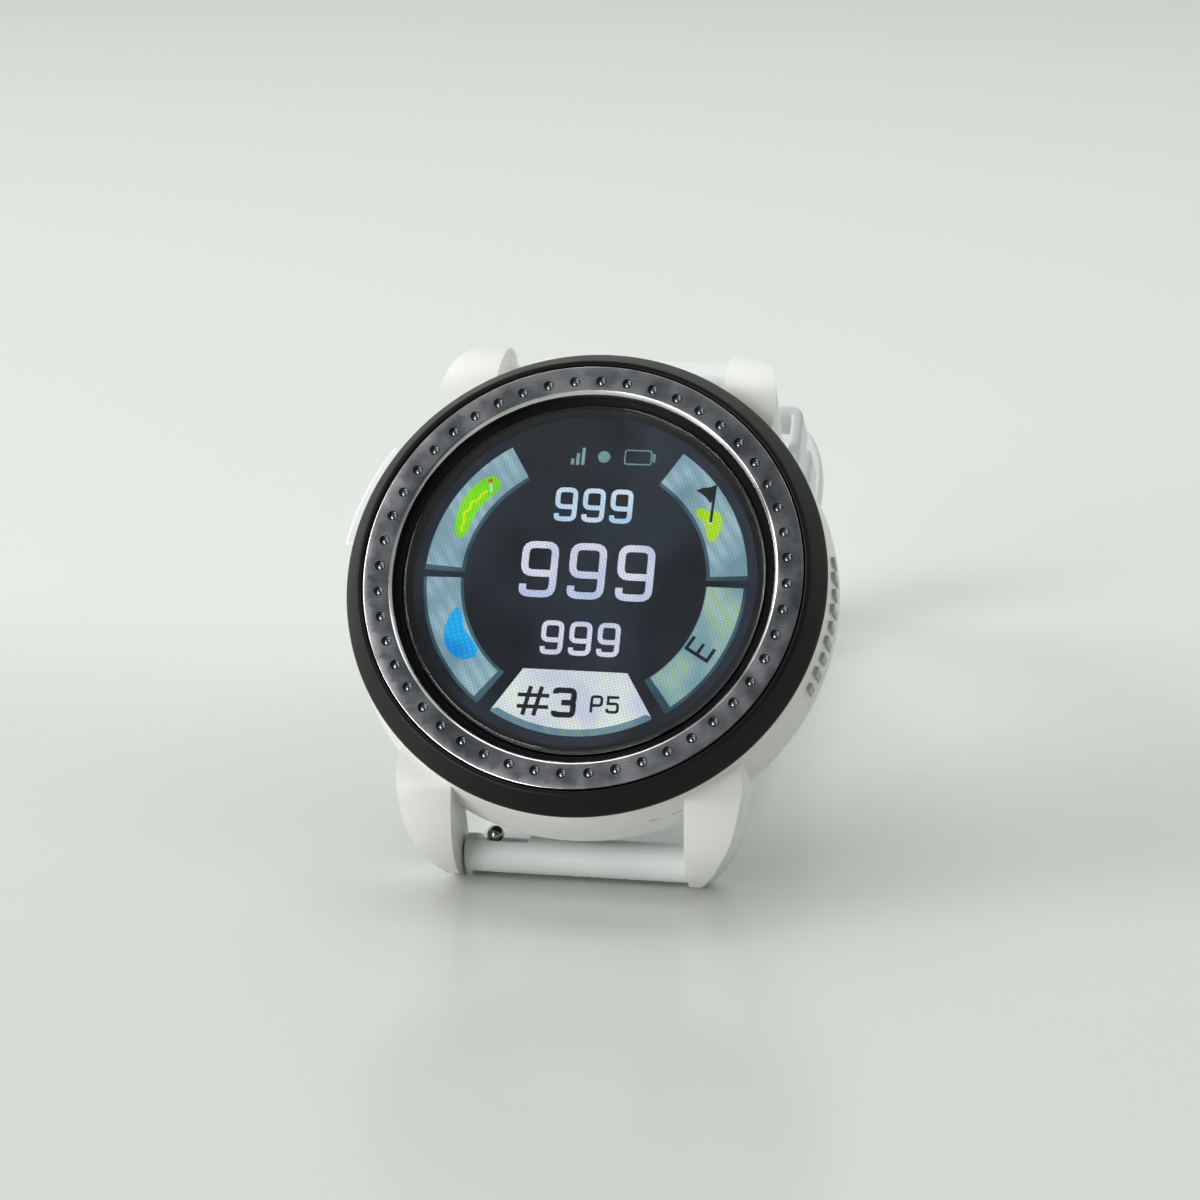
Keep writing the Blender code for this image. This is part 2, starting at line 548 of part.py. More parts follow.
def short_half(parent):
    stations = short_half_line()
    length = stations[-1][0]
    sections = []
    for distance, point, heading in stations:
        thick = STRAP_THICKNESS / 2 + max(0.0, 0.35 * (1 - distance / 6.0))
        sections.append(strap_section(point, heading, strap_width(distance, length) / 2, thick, 0.35))
    strap = finish(loft(sections), "strap_buckle_half", SILICONE, parent)
    add_barrel(strap, "buckle_half", parent, BARREL_RADIUS, BAR_BORE, STRAP_WIDTH)
    knob_notch(strap, "buckle_half_notch", parent, -1)
    end, heading = stations[-1][1], stations[-1][2]
    place = (0, *end)
    add_barrel(strap, "buckle_end", parent, BUCKLE_BARREL, PIN_RADIUS + 0.2, STRAP_END_WIDTH, place)
    slot = finish(block((3.0, 7.0, 6.0), (0, 1.2, 0)), "tang_slot", None, parent, place, (heading, 0, 0), helper=True)
    boolean(strap, slot)
    return place, heading


def buckle(parent):
    """Frame, pin and tang, drawn in the buckle's own frame: x across, y along the strap, z outwards."""
    half, rail, reach, back, bar = 12.0, 1.6, 11.2, 2.0, 2.0
    outline = [(half, -back), (half, reach - 2.5)] + arc((half - 2.5, reach - 2.5), 2.5, 15, 75, 3)
    outline += [(half - 2.5, reach)]
    outline += [(-x, y) for x, y in reversed(outline)]
    inner = [(-half + rail, -back), (-half + rail, reach - bar - 1.0), (-half + rail + 1.0, reach - bar)]
    outline += inner + [(-x, y) for x, y in reversed(inner)]
    frame = finish(prism(outline, -1.0, 1.0), "buckle_frame", STEEL, parent)
    hole = lathe([(0, -14.0), (PIN_RADIUS + 0.12, -14.0), (PIN_RADIUS + 0.12, 14.0), (0, 14.0)], 16, axis="X")
    bevel(frame, 0.3, 2)
    boolean(frame, finish(hole, "frame_pin_holes", None, parent, helper=True))
    pin = [(0, -11.7), (PIN_RADIUS, -11.7), (PIN_RADIUS, 11.7), (0, 11.7)]
    finish(lathe(pin, 16, axis="X"), "buckle_pin", STEEL, parent)
    profile = arc((0, 0), 1.45, 60, 300, 10)
    profile += [(1.3, -0.9), (3.0, 0.6), (8.5, 1.3), (11.6, 1.3), (12.0, 1.7), (11.6, 2.3), (8.4, 2.4), (3.0, 2.0)]
    tang = finish(prism(profile, -1.0, 1.0, axis="X"), "buckle_tang", STEEL, parent)
    eye = lathe([(0, -3.0), (PIN_RADIUS + 0.12, -3.0), (PIN_RADIUS + 0.12, 3.0), (0, 3.0)], 16, axis="X")
    boolean(tang, finish(eye, "tang_eye", None, parent, helper=True))


def keeper(name, parent, along):
    """A loop round the strap, with room above it for the free end. along is its middle, before the buckle pin."""
    half, low, high, wall, width = 10.7, -1.55, 4.3, 1.3, 5.6
    outer = [(half + wall, low - wall), (half + wall, high + wall), (-half - wall, high + wall)]
    outer += [(-half - wall, low - wall)]
    body = prism(outer, -width / 2, width / 2)
    made = finish(body, name, SILICONE, parent, (0, along, 0), (math.pi / 2, 0, 0))
    inner = [(half, low), (half, high), (-half, high), (-half, low)]
    window = prism(inner, -width, width)
    tool = finish(window, name + "_window", None, parent, (0, along, 0), (math.pi / 2, 0, 0), helper=True)
    bevel(made, 0.6, 2)
    boolean(made, tool)


def main():
    for leftover in list(bpy.data.objects):
        bpy.data.objects.remove(leftover)
    watch = empty("watch", (FRAME_SHIFT_X, FRAME_SHIFT_Y, DIAL_HEIGHT), (tilt, 0, 0))
    mid_case(watch)
    case_shells(watch)
    case_insides(watch)
    side_button(watch)
    lower = (FRAME_SHIFT_X, FRAME_SHIFT_Y + lower_bar[0], DIAL_HEIGHT + lower_bar[1])
    upper = (FRAME_SHIFT_X, FRAME_SHIFT_Y + upper_bar[0], DIAL_HEIGHT + upper_bar[1])
    lower_axis = empty("lower_bar_axis", lower)
    upper_axis = empty("upper_bar_axis", upper)
    long_half(lower_axis)
    spring_bar("lower", lower_axis, 1)
    place, heading = short_half(upper_axis)
    spring_bar("upper", upper_axis, -1)
    buckle_axis = empty("buckle_axis", place, (heading, 0, 0), upper_axis)
    buckle(buckle_axis)
    keeper("fixed_keeper", buckle_axis, -6.2)
    keeper("free_keeper", buckle_axis, -17.0)


main()
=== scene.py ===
"""Looks of the golf GPS watch: detailed pieces, procedural materials, studio and camera.

Shapes are drawn in millimetres. DIAL places a piece drawn in the dial frame: x to 3 o'clock, y to
12 o'clock, z out of the glass, zero at the face of the metal ring. Strap pieces are drawn in world
axes from their spring bar, and buckle pieces in the buckle pin's frame.
"""

import json
import math

import bmesh
import bpy
from mathutils import Matrix, Vector, noise


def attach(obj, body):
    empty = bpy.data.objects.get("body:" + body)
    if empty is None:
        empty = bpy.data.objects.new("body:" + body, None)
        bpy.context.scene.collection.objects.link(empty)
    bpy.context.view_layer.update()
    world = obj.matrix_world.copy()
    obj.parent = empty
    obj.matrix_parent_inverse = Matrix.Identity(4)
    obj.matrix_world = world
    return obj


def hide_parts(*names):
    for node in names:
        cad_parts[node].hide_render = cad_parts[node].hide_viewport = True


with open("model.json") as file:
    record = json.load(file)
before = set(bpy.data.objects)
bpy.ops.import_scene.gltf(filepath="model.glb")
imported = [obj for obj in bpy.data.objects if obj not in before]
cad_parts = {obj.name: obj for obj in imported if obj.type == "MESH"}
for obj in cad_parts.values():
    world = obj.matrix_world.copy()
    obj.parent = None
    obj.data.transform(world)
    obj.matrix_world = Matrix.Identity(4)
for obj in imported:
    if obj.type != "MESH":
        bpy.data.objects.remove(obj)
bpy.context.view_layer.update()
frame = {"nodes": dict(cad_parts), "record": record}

MM = 0.001
TO_METRES = Matrix.Scale(MM, 4)

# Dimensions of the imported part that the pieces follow, in millimetres and degrees.
GLASS_DEPTH = 0.7
BAR_Y, BAR_Z = 23.8, -13.3
LUG_GAP, LUG_TIP = 22.0, 2.2
LUG_DRAFT, LUG_DRAFT_FROM = 0.3, -12.0
CASE_TOP, CASE_BOTTOM = -2.65, -9.6
COVER_CLEARANCE, COVER_BOTTOM = 22.95, -13.8
RING_INNER, RING_OUTER = 18.05, 20.8
BUTTON_ANGLE, BUTTON_SPAN = 290.5, 26.0
BUTTON_LOW, BUTTON_HIGH, BUTTON_MIDDLE = -7.6, -3.6, -5.6
SCREW_ANGLES, SCREW_CIRCLE = (45.0, 135.0, 225.0, 315.0), 21.55
CONTACT_PITCH, CONTACT_Y = 2.6, -13.0
STRAP_WIDTH, STRAP_END_WIDTH, STRAP_THICKNESS = 21.4, 19.6, 2.4
BARREL, BAR_BORE, BUCKLE_BARREL, PIN = 1.8, 0.95, 1.6, 0.65
BARREL_OVERHANG = 0.08      # how far a barrel stands out past each side of its strap half
BUCKLE_BORE = PIN + 0.2
PIN_PLAY = 0.12             # between the buckle pin and the metal that turns on it
LONG_FLAT, LONG_CURVE, LONG_LENGTH, RAMP = 72.0, 50.0, 118.0, 8.0
SHORT_START, SHORT_CURVE, SHORT_ARC, SHORT_STRAIGHT = 1.5, 60.0, 40.0, 25.0
TANG_HOLES, FIRST_TANG_HOLE, TANG_HOLE_PITCH = 9, 46.0, 6.5
TANG_HOLE_HALF_LENGTH, TANG_HOLE_HALF_WIDTH = 1.72, 1.15
ROOT_SWELL, ROOT_LENGTH = 0.35, 6.0         # how much thicker a strap half is where it leaves its barrel
TIP_LENGTH = 9.0
KEEPER_FIXED, KEEPER_FREE = -6.2, -17.0     # along the strap from the buckle pin
KNOB_X, KNOB_TRAVEL = -8.0, 1.6
KNOB_BALL, KNOB_MIDDLE = 0.82, 1.88
SLIT_ANGLES, SLIT_SIZE, SLIT_DEPTH = (159.4, 154.2), (1.04, 1.6, 0.315), -6.1
GRIP_BARS, GRIP_START, GRIP_PITCH, GRIP_HALF_TURN = 9, 80.0, 3.9, 0.9
GRIP_HEIGHT, GRIP_LONG, GRIP_SHORT, GRIP_REACH = -5.9, 1.45, 1.05, (22.9, 23.34)
DIMPLES, DIMPLE_CIRCLE, DIMPLE_RADIUS = 48, 19.3, 0.5
FLAT_INNER, FLAT_OUTER, RING_BOTTOM = 18.42, 20.7, -1.15
SEGMENT_INNER, SEGMENT_OUTER = 11.42, 15.25
PEBBLE_PEAK = 0.034         # lowers the grain, so that the face on the table doesn't pass through it
LONG_GRAIN, SHORT_GRAIN = (174.0, 268.0), (92.0, 172.0)     # where a barrel's skin is pebbled, in degrees
BRUSH_TURN = 0.003          # stretches the brush lines of the ring to a few millimetres

face = next(m for m in frame["record"]["mounts"] if m["name"] == "glass_face")
NORMAL = Vector(face["axis"]).normalized()
ACROSS = Vector((1, 0, 0))
UPWARD = NORMAL.cross(ACROSS)
CENTRE = Vector(face["pos_m"]) + NORMAL * GLASS_DEPTH * MM
DIAL = Matrix.Translation(CENTRE) @ Matrix((ACROSS, UPWARD, NORMAL)).transposed().to_4x4()
LOWER_BAR = Matrix.Translation(DIAL @ (Vector((0, -BAR_Y, BAR_Z)) * MM))
UPPER_BAR = Matrix.Translation(DIAL @ (Vector((0, BAR_Y, BAR_Z)) * MM))


# ---------------------------------------------------------------- materials

def tone(red, green, blue):
    """An 8-bit display colour as the shader's linear colour."""
    def linear(value):
        value /= 255
        return value / 12.92 if value <= 0.04045 else ((value + 0.055) / 1.055) ** 2.4
    return linear(red), linear(green), linear(blue), 1.0


class Shader:
    """A Principled material whose nodes are added by short calls."""

    def __init__(self, name, **sockets):
        self.made = bpy.data.materials.new(name)
        self.made.use_nodes = True
        self.tree = self.made.node_tree
        self.out = self.tree.nodes["Principled BSDF"]
        for key, value in sockets.items():
            self.out.inputs[key.replace("_", " ")].default_value = value
        self.place = self.tree.nodes.new("ShaderNodeTexCoord").outputs["Object"]

    def node(self, kind, **settings):
        made = self.tree.nodes.new("ShaderNode" + kind)
        for key, value in settings.items():
            if hasattr(made, key):
                setattr(made, key, value)
            else:
                self.feed(made.inputs[key.replace("_", " ")], value)
        return made

    def feed(self, socket, value):
        if isinstance(value, bpy.types.NodeSocket):
            self.tree.links.new(value, socket)
        else:
            socket.default_value = value

    def noise(self, size, detail=2.0, place=None):
        """Noise of features about size millimetres across."""
        made = self.node("TexNoise", Scale=1 / (size * MM), Detail=detail)
        self.feed(made.inputs["Vector"], place or self.place)
        return made.outputs["Fac"]

    def math(self, operation, first, second=0.0):
        made = self.node("Math", operation=operation)
        self.feed(made.inputs[0], first)
        self.feed(made.inputs[1], second)
        return made.outputs[0]

    def between(self, factor, low, high, start=0.35, end=0.65):
        """Maps a factor between start and end to a number between low and high."""
        made = self.node("MapRange", Value=factor, From_Min=start, From_Max=end, To_Min=low, To_Max=high)
        return made.outputs["Result"]

    def ramp(self, factor, *stops):
        """A colour ramp of (position, colour) stops."""
        made = self.node("ValToRGB", Fac=factor)
        steps = made.color_ramp.elements
        while len(steps) < len(stops):
            steps.new(0.5)
        for step, (where, colour) in zip(steps, stops):
            step.position = where
            step.color = colour
        return made.outputs["Color"]

    def blend(self, kind, factor, first, second):
        made = self.node("Mix", data_type="RGBA", blend_type=kind)
        self.feed(made.inputs[0], factor)
        self.feed(made.inputs[6], first)
        self.feed(made.inputs[7], second)
        return made.outputs[2]

    def bump(self, height, depth, strength=1.0):
        made = self.node("Bump", Height=height, Distance=depth * MM, Strength=strength)
        self.tree.links.new(made.outputs["Normal"], self.out.inputs["Normal"])

    def set(self, name, value):
        self.feed(self.out.inputs[name], value)


def scaled(colour, share):
    return tuple(min(1.0, value * share) for value in colour[:3]) + (1.0,)


def moulded(name, colour, roughness, spread=0.06, tint=0.05, patch=7.0, grain=0.16, depth=0.004, **sockets):
    """A surface with broad colour and gloss variation and a fine grain."""
    made = Shader(name, **sockets)
    broad = made.noise(patch, 3.0)
    made.set("Base Color", made.ramp(broad, (0.3, scaled(colour, 1 - tint)), (0.7, scaled(colour, 1 + tint))))
    fine = made.noise(grain, 3.0)
    patches = made.math("MULTIPLY", made.math("ADD", broad, fine), 0.5)
    made.set("Roughness", made.between(patches, roughness - spread, roughness + spread))
    made.bump(fine, depth)
    return made.made


def around(made):
    """(angle in turns, radius in metres) about the dial's axis, and the position in the dial frame."""
    moved = made.node("Mapping", vector_type="POINT")
    made.feed(moved.inputs["Vector"], made.place)
    back = DIAL.inverted()
    moved.inputs["Location"].default_value = back.translation
    moved.inputs["Rotation"].default_value = back.to_euler()
    split = made.node("SeparateXYZ", Vector=moved.outputs["Vector"])
    x, y = split.outputs["X"], split.outputs["Y"]
    angle = made.math("MULTIPLY", made.math("ARCTAN2", y, x), 1 / (2 * math.pi))
    reach = made.math("SQRT", made.math("ADD", made.math("MULTIPLY", x, x), made.math("MULTIPLY", y, y)))
    return angle, reach, moved.outputs["Vector"]


def brushed(name, colour, roughness, depth, anisotropy):
    """Metal with fine brush lines that run round the dial."""
    made = Shader(name, Metallic=1.0, Anisotropic=anisotropy)
    angle, reach, place = around(made)
    lines = made.node("CombineXYZ")
    made.feed(lines.inputs["X"], made.math("MULTIPLY", angle, BRUSH_TURN))
    made.feed(lines.inputs["Y"], reach)
    strokes = made.noise(0.05, 2.0, lines.outputs[0])
    # Crossing strokes, all in one direction, as a brushing wheel leaves them before the last pass.
    stretched = made.node("Mapping", Vector=place)
    stretched.inputs["Rotation"].default_value = (0, 0, math.radians(38))
    stretched.inputs["Scale"].default_value = (0.05, 1.0, 1.0)
    crossing = made.noise(0.09, 3.0, stretched.outputs["Vector"])
    cloud = made.noise(3.2, 3.0)
    both = made.math("ADD", made.math("MULTIPLY", strokes, 0.5), made.math("MULTIPLY", crossing, 0.5))
    shade = made.math("ADD", made.math("MULTIPLY", both, 0.5), made.math("MULTIPLY", cloud, 0.5))
    made.set("Base Color", made.ramp(shade, (0.36, scaled(colour, 0.72)), (0.64, scaled(colour, 1.25))))
    made.set("Roughness", made.between(cloud, roughness - 0.07, roughness + 0.08))
    made.bump(both, depth)
    return made.made


def screen_lit(name, light, dark, strength=1.0, pitch=0.135, stripes=0.0, second=None):
    """A lit patch of the display: soft colour change, the pixel grid, and slanting beat stripes."""
    made = Shader(name, Base_Color=(0.0, 0.0, 0.0, 1.0), Roughness=0.6, Emission_Strength=strength)
    moved = around(made)[2]
    split = made.node("SeparateXYZ", Vector=moved)
    x, y = split.outputs["X"], split.outputs["Y"]

    def wave(along, upward, length):
        mixed = made.math("ADD", made.math("MULTIPLY", x, along), made.math("MULTIPLY", y, upward))
        turned = made.math("SINE", made.math("MULTIPLY", mixed, 2 * math.pi / (length * MM)))
        return made.math("ADD", made.math("MULTIPLY", turned, 0.5), 0.5)

    soft = made.noise(3.5, 1.0)
    colour = made.ramp(soft, (0.35, dark), (0.65, light))
    if second is not None:
        slanting = made.math("MULTIPLY", wave(0.82, 0.57, 1.15), made.between(soft, 0.0, 1.0, 0.4, 0.55))
        colour = made.blend("MIX", made.math("MULTIPLY", slanting, stripes), colour, second)
    weave = made.math("MULTIPLY", wave(0.94, 0.34, pitch * 2.3), wave(-0.3, 0.95, pitch * 2.0))
    level = made.between(weave, 0.8, 1.12, 0.0, 0.8)
    level_colour = made.node("CombineColor", Red=level, Green=level, Blue=level)
    colour = made.blend("MULTIPLY", 1.0, colour, level_colour.outputs[0])
    made.set("Emission Color", colour)
    return made.made


CASE_RESIN = moulded("case_resin", (0.80, 0.80, 0.765, 1), 0.4, patch=9, grain=0.12, depth=0.003)
BUTTON_RESIN = moulded("button_resin", (0.87, 0.88, 0.90, 1), 0.16, spread=0.03, tint=0.02,
                       grain=0.3, depth=0.001, Coat_Weight=0.4, Coat_Roughness=0.08)
BEZEL_SATIN = moulded("bezel_satin", (0.0062, 0.0062, 0.0055, 1), 0.42, spread=0.05, tint=0.15,
                      patch=5, grain=0.1, depth=0.004, Specular_IOR_Level=0.2)
BLACK_RESIN = moulded("cover_resin", (0.021, 0.021, 0.022, 1), 0.5, tint=0.12, grain=0.14, depth=0.006)
RING_METAL = brushed("ring_metal", (0.30, 0.305, 0.32, 1), 0.36, 0.004, 0.4)
RING_EDGE = brushed("ring_edge", (0.62, 0.62, 0.63, 1), 0.17, 0.001, 0.2)
DIMPLE_METAL = moulded("dimple_metal", (0.34, 0.35, 0.37, 1), 0.22, patch=1, grain=0.1,
                       depth=0.002, Metallic=1.0)
STEEL = moulded("polished_steel_finish", (0.62, 0.61, 0.59, 1), 0.2, spread=0.05, patch=3, grain=0.08,
                depth=0.002, Metallic=1.0)
DARK_STEEL = moulded("knob_steel", (0.36, 0.34, 0.30, 1), 0.16, spread=0.04, patch=1, grain=0.1,
                     depth=0.002, Metallic=1.0)
SILICONE = moulded("silicone", (0.80, 0.835, 0.825, 1), 0.52, spread=0.05, tint=0.03, patch=6,
                   grain=0.2, depth=0.008, Sheen_Weight=0.15, Sheen_Roughness=0.4)
PEBBLED = moulded("silicone_pebbled", (0.80, 0.835, 0.82, 1), 0.58, spread=0.05, tint=0.04, patch=4,
                  grain=0.32, depth=0.03, Sheen_Weight=0.15, Sheen_Roughness=0.4)
RUBBER = moulded("seal_rubber", (0.03, 0.03, 0.03, 1), 0.7, grain=0.1, depth=0.006)
BOARD = moulded("board_green", (0.02, 0.12, 0.06, 1), 0.45, tint=0.3, patch=1.2, grain=0.2, depth=0.01)
CAN = moulded("can_tin", (0.55, 0.55, 0.54, 1), 0.34, patch=2, grain=0.1, depth=0.004, Metallic=1.0)
CERAMIC = moulded("ceramic", (0.62, 0.55, 0.40, 1), 0.6, patch=2, grain=0.08, depth=0.006)
POUCH = moulded("pouch_foil", (0.5, 0.51, 0.53, 1), 0.38, patch=4, grain=0.6, depth=0.03, Metallic=0.6)
FOAM = moulded("foam_black", (0.06, 0.06, 0.07, 1), 0.85, spread=0.04, grain=0.12, depth=0.05)
GOLD = moulded("contact_gold", (0.83, 0.62, 0.25, 1), 0.22, patch=0.8, grain=0.06, depth=0.002, Metallic=1.0)
FLEX = moulded("flex_amber", (0.55, 0.30, 0.05, 1), 0.5, patch=2, grain=0.2, depth=0.004)
TRAY = moulded("tray_plastic", (0.1, 0.1, 0.11, 1), 0.5, patch=4, grain=0.15, depth=0.005)
MARK_GREY = moulded("mark_grey", (0.42, 0.42, 0.41, 1), 0.5, patch=1, grain=0.1, depth=0.004)


def clear_lens():
    made = Shader("lens_glass", Base_Color=(1, 1, 1, 1), Transmission_Weight=1.0, IOR=1.45)
    made.set("Roughness", made.between(made.noise(5.0, 2.0), 0.0, 0.02))
    return made.made


def clear_film():
    made = Shader("film_clear", Base_Color=(1, 1, 1, 1), Transmission_Weight=1.0, IOR=1.02)
    made.set("Roughness", made.between(made.noise(4.0, 2.0), 0.0, 0.01))
    return made.made


def screen_dark():
    """The unlit ground of the display: near black, with a soft blue-grey glow here and there."""
    made = Shader("screen_dark", Base_Color=(0.004, 0.005, 0.006, 1), Emission_Strength=1.0)
    made.set("Roughness", made.between(made.noise(2.0, 1.0), 0.45, 0.55))
    cloud = made.noise(9.0, 1.0)
    made.set("Emission Color", made.ramp(cloud, (0.36, tone(12, 16, 22)), (0.62, tone(33, 41, 52))))
    return made.made


LENS = clear_lens()
FILM = clear_film()
SCREEN_DARK = screen_dark()
BORDER_PRINT = moulded("border_print", (0.012, 0.012, 0.012, 1), 0.4, tint=0.1, patch=3, depth=0.001)
TEAL = screen_lit("segment_teal", tone(160, 194, 200), tone(116, 152, 168), stripes=0.4,
                  second=tone(96, 130, 175))
TEAL_GREEN = screen_lit("segment_green_tint", tone(160, 196, 196), tone(122, 162, 172), stripes=0.6,
                        second=tone(160, 190, 120))
TEAL_EDGE = screen_lit("segment_edge", tone(66, 100, 112), tone(40, 70, 84))
PALE = screen_lit("panel_pale", tone(232, 240, 240), tone(206, 214, 232), stripes=0.3,
                  second=tone(216, 240, 190))
PALE_EDGE = screen_lit("panel_edge", tone(112, 146, 172), tone(92, 128, 150), stripes=0.6,
                       second=tone(120, 160, 110))
DIGIT = screen_lit("digit_light", tone(224, 226, 244), tone(188, 204, 236))
DIGIT_BLUE = screen_lit("digit_light_blue", tone(214, 232, 250), tone(170, 214, 244))
ICON_TEAL = screen_lit("icon_teal", tone(132, 170, 168), tone(108, 150, 150))
FAIRWAY = screen_lit("patch_green", tone(128, 236, 10), tone(104, 214, 0))
GREEN_SPOT = screen_lit("patch_lime", tone(176, 226, 40), tone(140, 206, 20))
YELLOW = screen_lit("patch_yellow", tone(226, 240, 20), tone(200, 226, 10))
WATER = screen_lit("patch_water", tone(20, 176, 246), tone(0, 140, 226), pitch=0.22)
FLAG_RED = screen_lit("flag_red", tone(230, 60, 20), tone(200, 50, 10))
LABEL_BLACK = screen_lit("label_black", tone(26, 32, 36), tone(18, 22, 28))


# ---------------------------------------------------------------- mesh helpers

def piece(bm, name, surfaces, body, place=DIAL, replaces=(), smooth=35.0):
    """Closes a bmesh drawn in millimetres into a piece that rides on a body."""
    made = solid(bm, name, place, smooth)
    dress(made, surfaces, body, replaces)
    return made


def dress(made, surfaces, body, replaces):
    """Gives a mesh its materials, its moving body and the CAD nodes that it stands for."""
    for surface in surfaces:
        made.data.materials.append(surface)
    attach(made, body)
    if replaces:
        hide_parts(*replaces)


def solid(bm, name, place=DIAL, smooth=35.0):
    bmesh.ops.recalc_face_normals(bm, faces=bm.faces[:])
    bmesh.ops.transform(bm, matrix=place @ TO_METRES, verts=bm.verts[:])
    mesh = bpy.data.meshes.new(name)
    bm.to_mesh(mesh)
    bm.free()
    mesh.shade_smooth()
    mesh.set_sharp_from_angle(angle=math.radians(smooth))
    made = bpy.data.objects.new(name, mesh)
    bpy.context.scene.collection.objects.link(made)
    return made


def combine(target, tool, operation="DIFFERENCE", keep=False):
    """Cuts or joins a tool and applies the result to the target's mesh."""
    change = target.modifiers.new("change", "BOOLEAN")
    change.operation = operation
    change.solver = "EXACT"
    change.object = tool
    settle(target)
    if not keep:
        bpy.data.objects.remove(tool)


def settle(target):
    """Applies the target's modifiers."""
    graph = bpy.context.evaluated_depsgraph_get()
    graph.update()
    baked = bpy.data.meshes.new_from_object(target.evaluated_get(graph))
    target.modifiers.clear()
    target.data = baked


def rounded(target, width, segments=3, angle=38.0):
    edge = target.modifiers.new("rounding", "BEVEL")
    edge.width = width * MM
    edge.segments = segments
    edge.limit_method = "ANGLE"
    edge.angle_limit = math.radians(angle)
    edge.use_clamp_overlap = True
    settle(target)


def resmooth(target, angle=35.0):
    target.data.shade_smooth()
    target.data.set_sharp_from_angle(angle=math.radians(angle))


def lathe(profile, segments, axis="Z"):
    """A turned solid from a closed run of (radius, height)."""
    bm = bmesh.new()
    rings = []
    for radius, height in profile:
        if radius == 0:
            rings.append([bm.verts.new((0, 0, height))])
            continue
        ring = []
        for step in range(segments):
            turn = 2 * math.pi * step / segments
            ring.append(bm.verts.new((radius * math.cos(turn), radius * math.sin(turn), height)))
        rings.append(ring)
    for index, ring in enumerate(rings):
        following = rings[(index + 1) % len(rings)]
        if len(ring) == 1 and len(following) == 1:
            continue
        for step in range(segments):
            after = (step + 1) % segments
            corners = [ring[step % len(ring)], following[step % len(following)]]
            if len(following) > 1:
                corners.append(following[after])
            if len(ring) > 1:
                corners.append(ring[after])
            bm.faces.new(corners)
    if axis == "X":
        bmesh.ops.rotate(bm, verts=bm.verts[:], matrix=Matrix.Rotation(math.pi / 2, 3, "Y"))
    return bm


def prism(outline, low, high, axis="Z", bm=None):
    """An outline extruded from low to high. On axis X the outline is (y, z)."""
    bm = bm or bmesh.new()

    def point(pair, depth):
        if axis == "X":
            return (depth, pair[0], pair[1])
        return (pair[0], pair[1], depth)

    base = [bm.verts.new(point(pair, low)) for pair in outline]
    top = [bm.verts.new(point(pair, high)) for pair in outline]
    bm.faces.new(base)
    bm.faces.new(top)
    for index in range(len(outline)):
        after = (index + 1) % len(outline)
        bm.faces.new((base[index], base[after], top[after], top[index]))
    return bm


def block(size, centre):
    bm = bmesh.new()
    bmesh.ops.create_cube(bm, size=1.0)
    bmesh.ops.scale(bm, vec=size, verts=bm.verts[:])
    bmesh.ops.translate(bm, vec=centre, verts=bm.verts[:])
    return bm


def loft(sections, looped=False):
    """Bridges equal closed rings of points, capped unless the run is looped."""
    bm = bmesh.new()
    rings = [[bm.verts.new(point) for point in section] for section in sections]
    if not looped:
        bm.faces.new(rings[0])
        bm.faces.new(rings[-1])
    for number in range(len(rings) if looped else len(rings) - 1):
        ring, following = rings[number], rings[(number + 1) % len(rings)]
        for index in range(len(ring)):
            after = (index + 1) % len(ring)
            bm.faces.new((ring[index], ring[after], following[after], following[index]))
    return bm


def arc(centre, radius, first, last, steps):
    points = []
    for step in range(steps + 1):
        turn = math.radians(first + (last - first) * step / steps)
        points.append((centre[0] + radius * math.cos(turn), centre[1] + radius * math.sin(turn)))
    return points


def clock(angle, radius):
    """A dial point at an angle clockwise from 12 o'clock."""
    return radius * math.sin(math.radians(angle)), radius * math.cos(math.radians(angle))


def clock_arc(first, last, radius, steps):
    return [clock(first + (last - first) * step / steps, radius) for step in range(steps + 1)]


def flowing(points, steps=6, closed=False):
    """A smooth run through the points."""
    count = len(points)
    line = []
    spans = count if closed else count - 1
    for index in range(spans):
        if closed:
            near = [points[(index + shift) % count] for shift in (-1, 0, 1, 2)]
        else:
            near = [points[min(max(index + shift, 0), count - 1)] for shift in (-1, 0, 1, 2)]
        for step in range(steps):
            t = step / steps
            weights = (-t + 2 * t * t - t ** 3, 2 - 5 * t * t + 3 * t ** 3,
                       t + 4 * t * t - 3 * t ** 3, t ** 3 - t * t)
            line.append(tuple(sum(w * p[k] for w, p in zip(weights, near)) / 2 for k in (0, 1)))
    if not closed:
        line.append(points[-1])
    return line


def walk(start, heading, stretches):
    """Stations (distance, point, heading) along stretches of (length, radius, steps)."""
    y, z = start
    travelled = 0.0
    stations = [(travelled, (y, z), heading)]
    for length, radius, steps in stretches:
        for _ in range(steps):
            step = length / steps
            turn = step / radius if radius else 0.0
            heading += turn / 2
            y += step * math.cos(heading)
            z += step * math.sin(heading)
            heading += turn / 2
            travelled += step
            stations.append((travelled, (y, z), heading))
    return stations


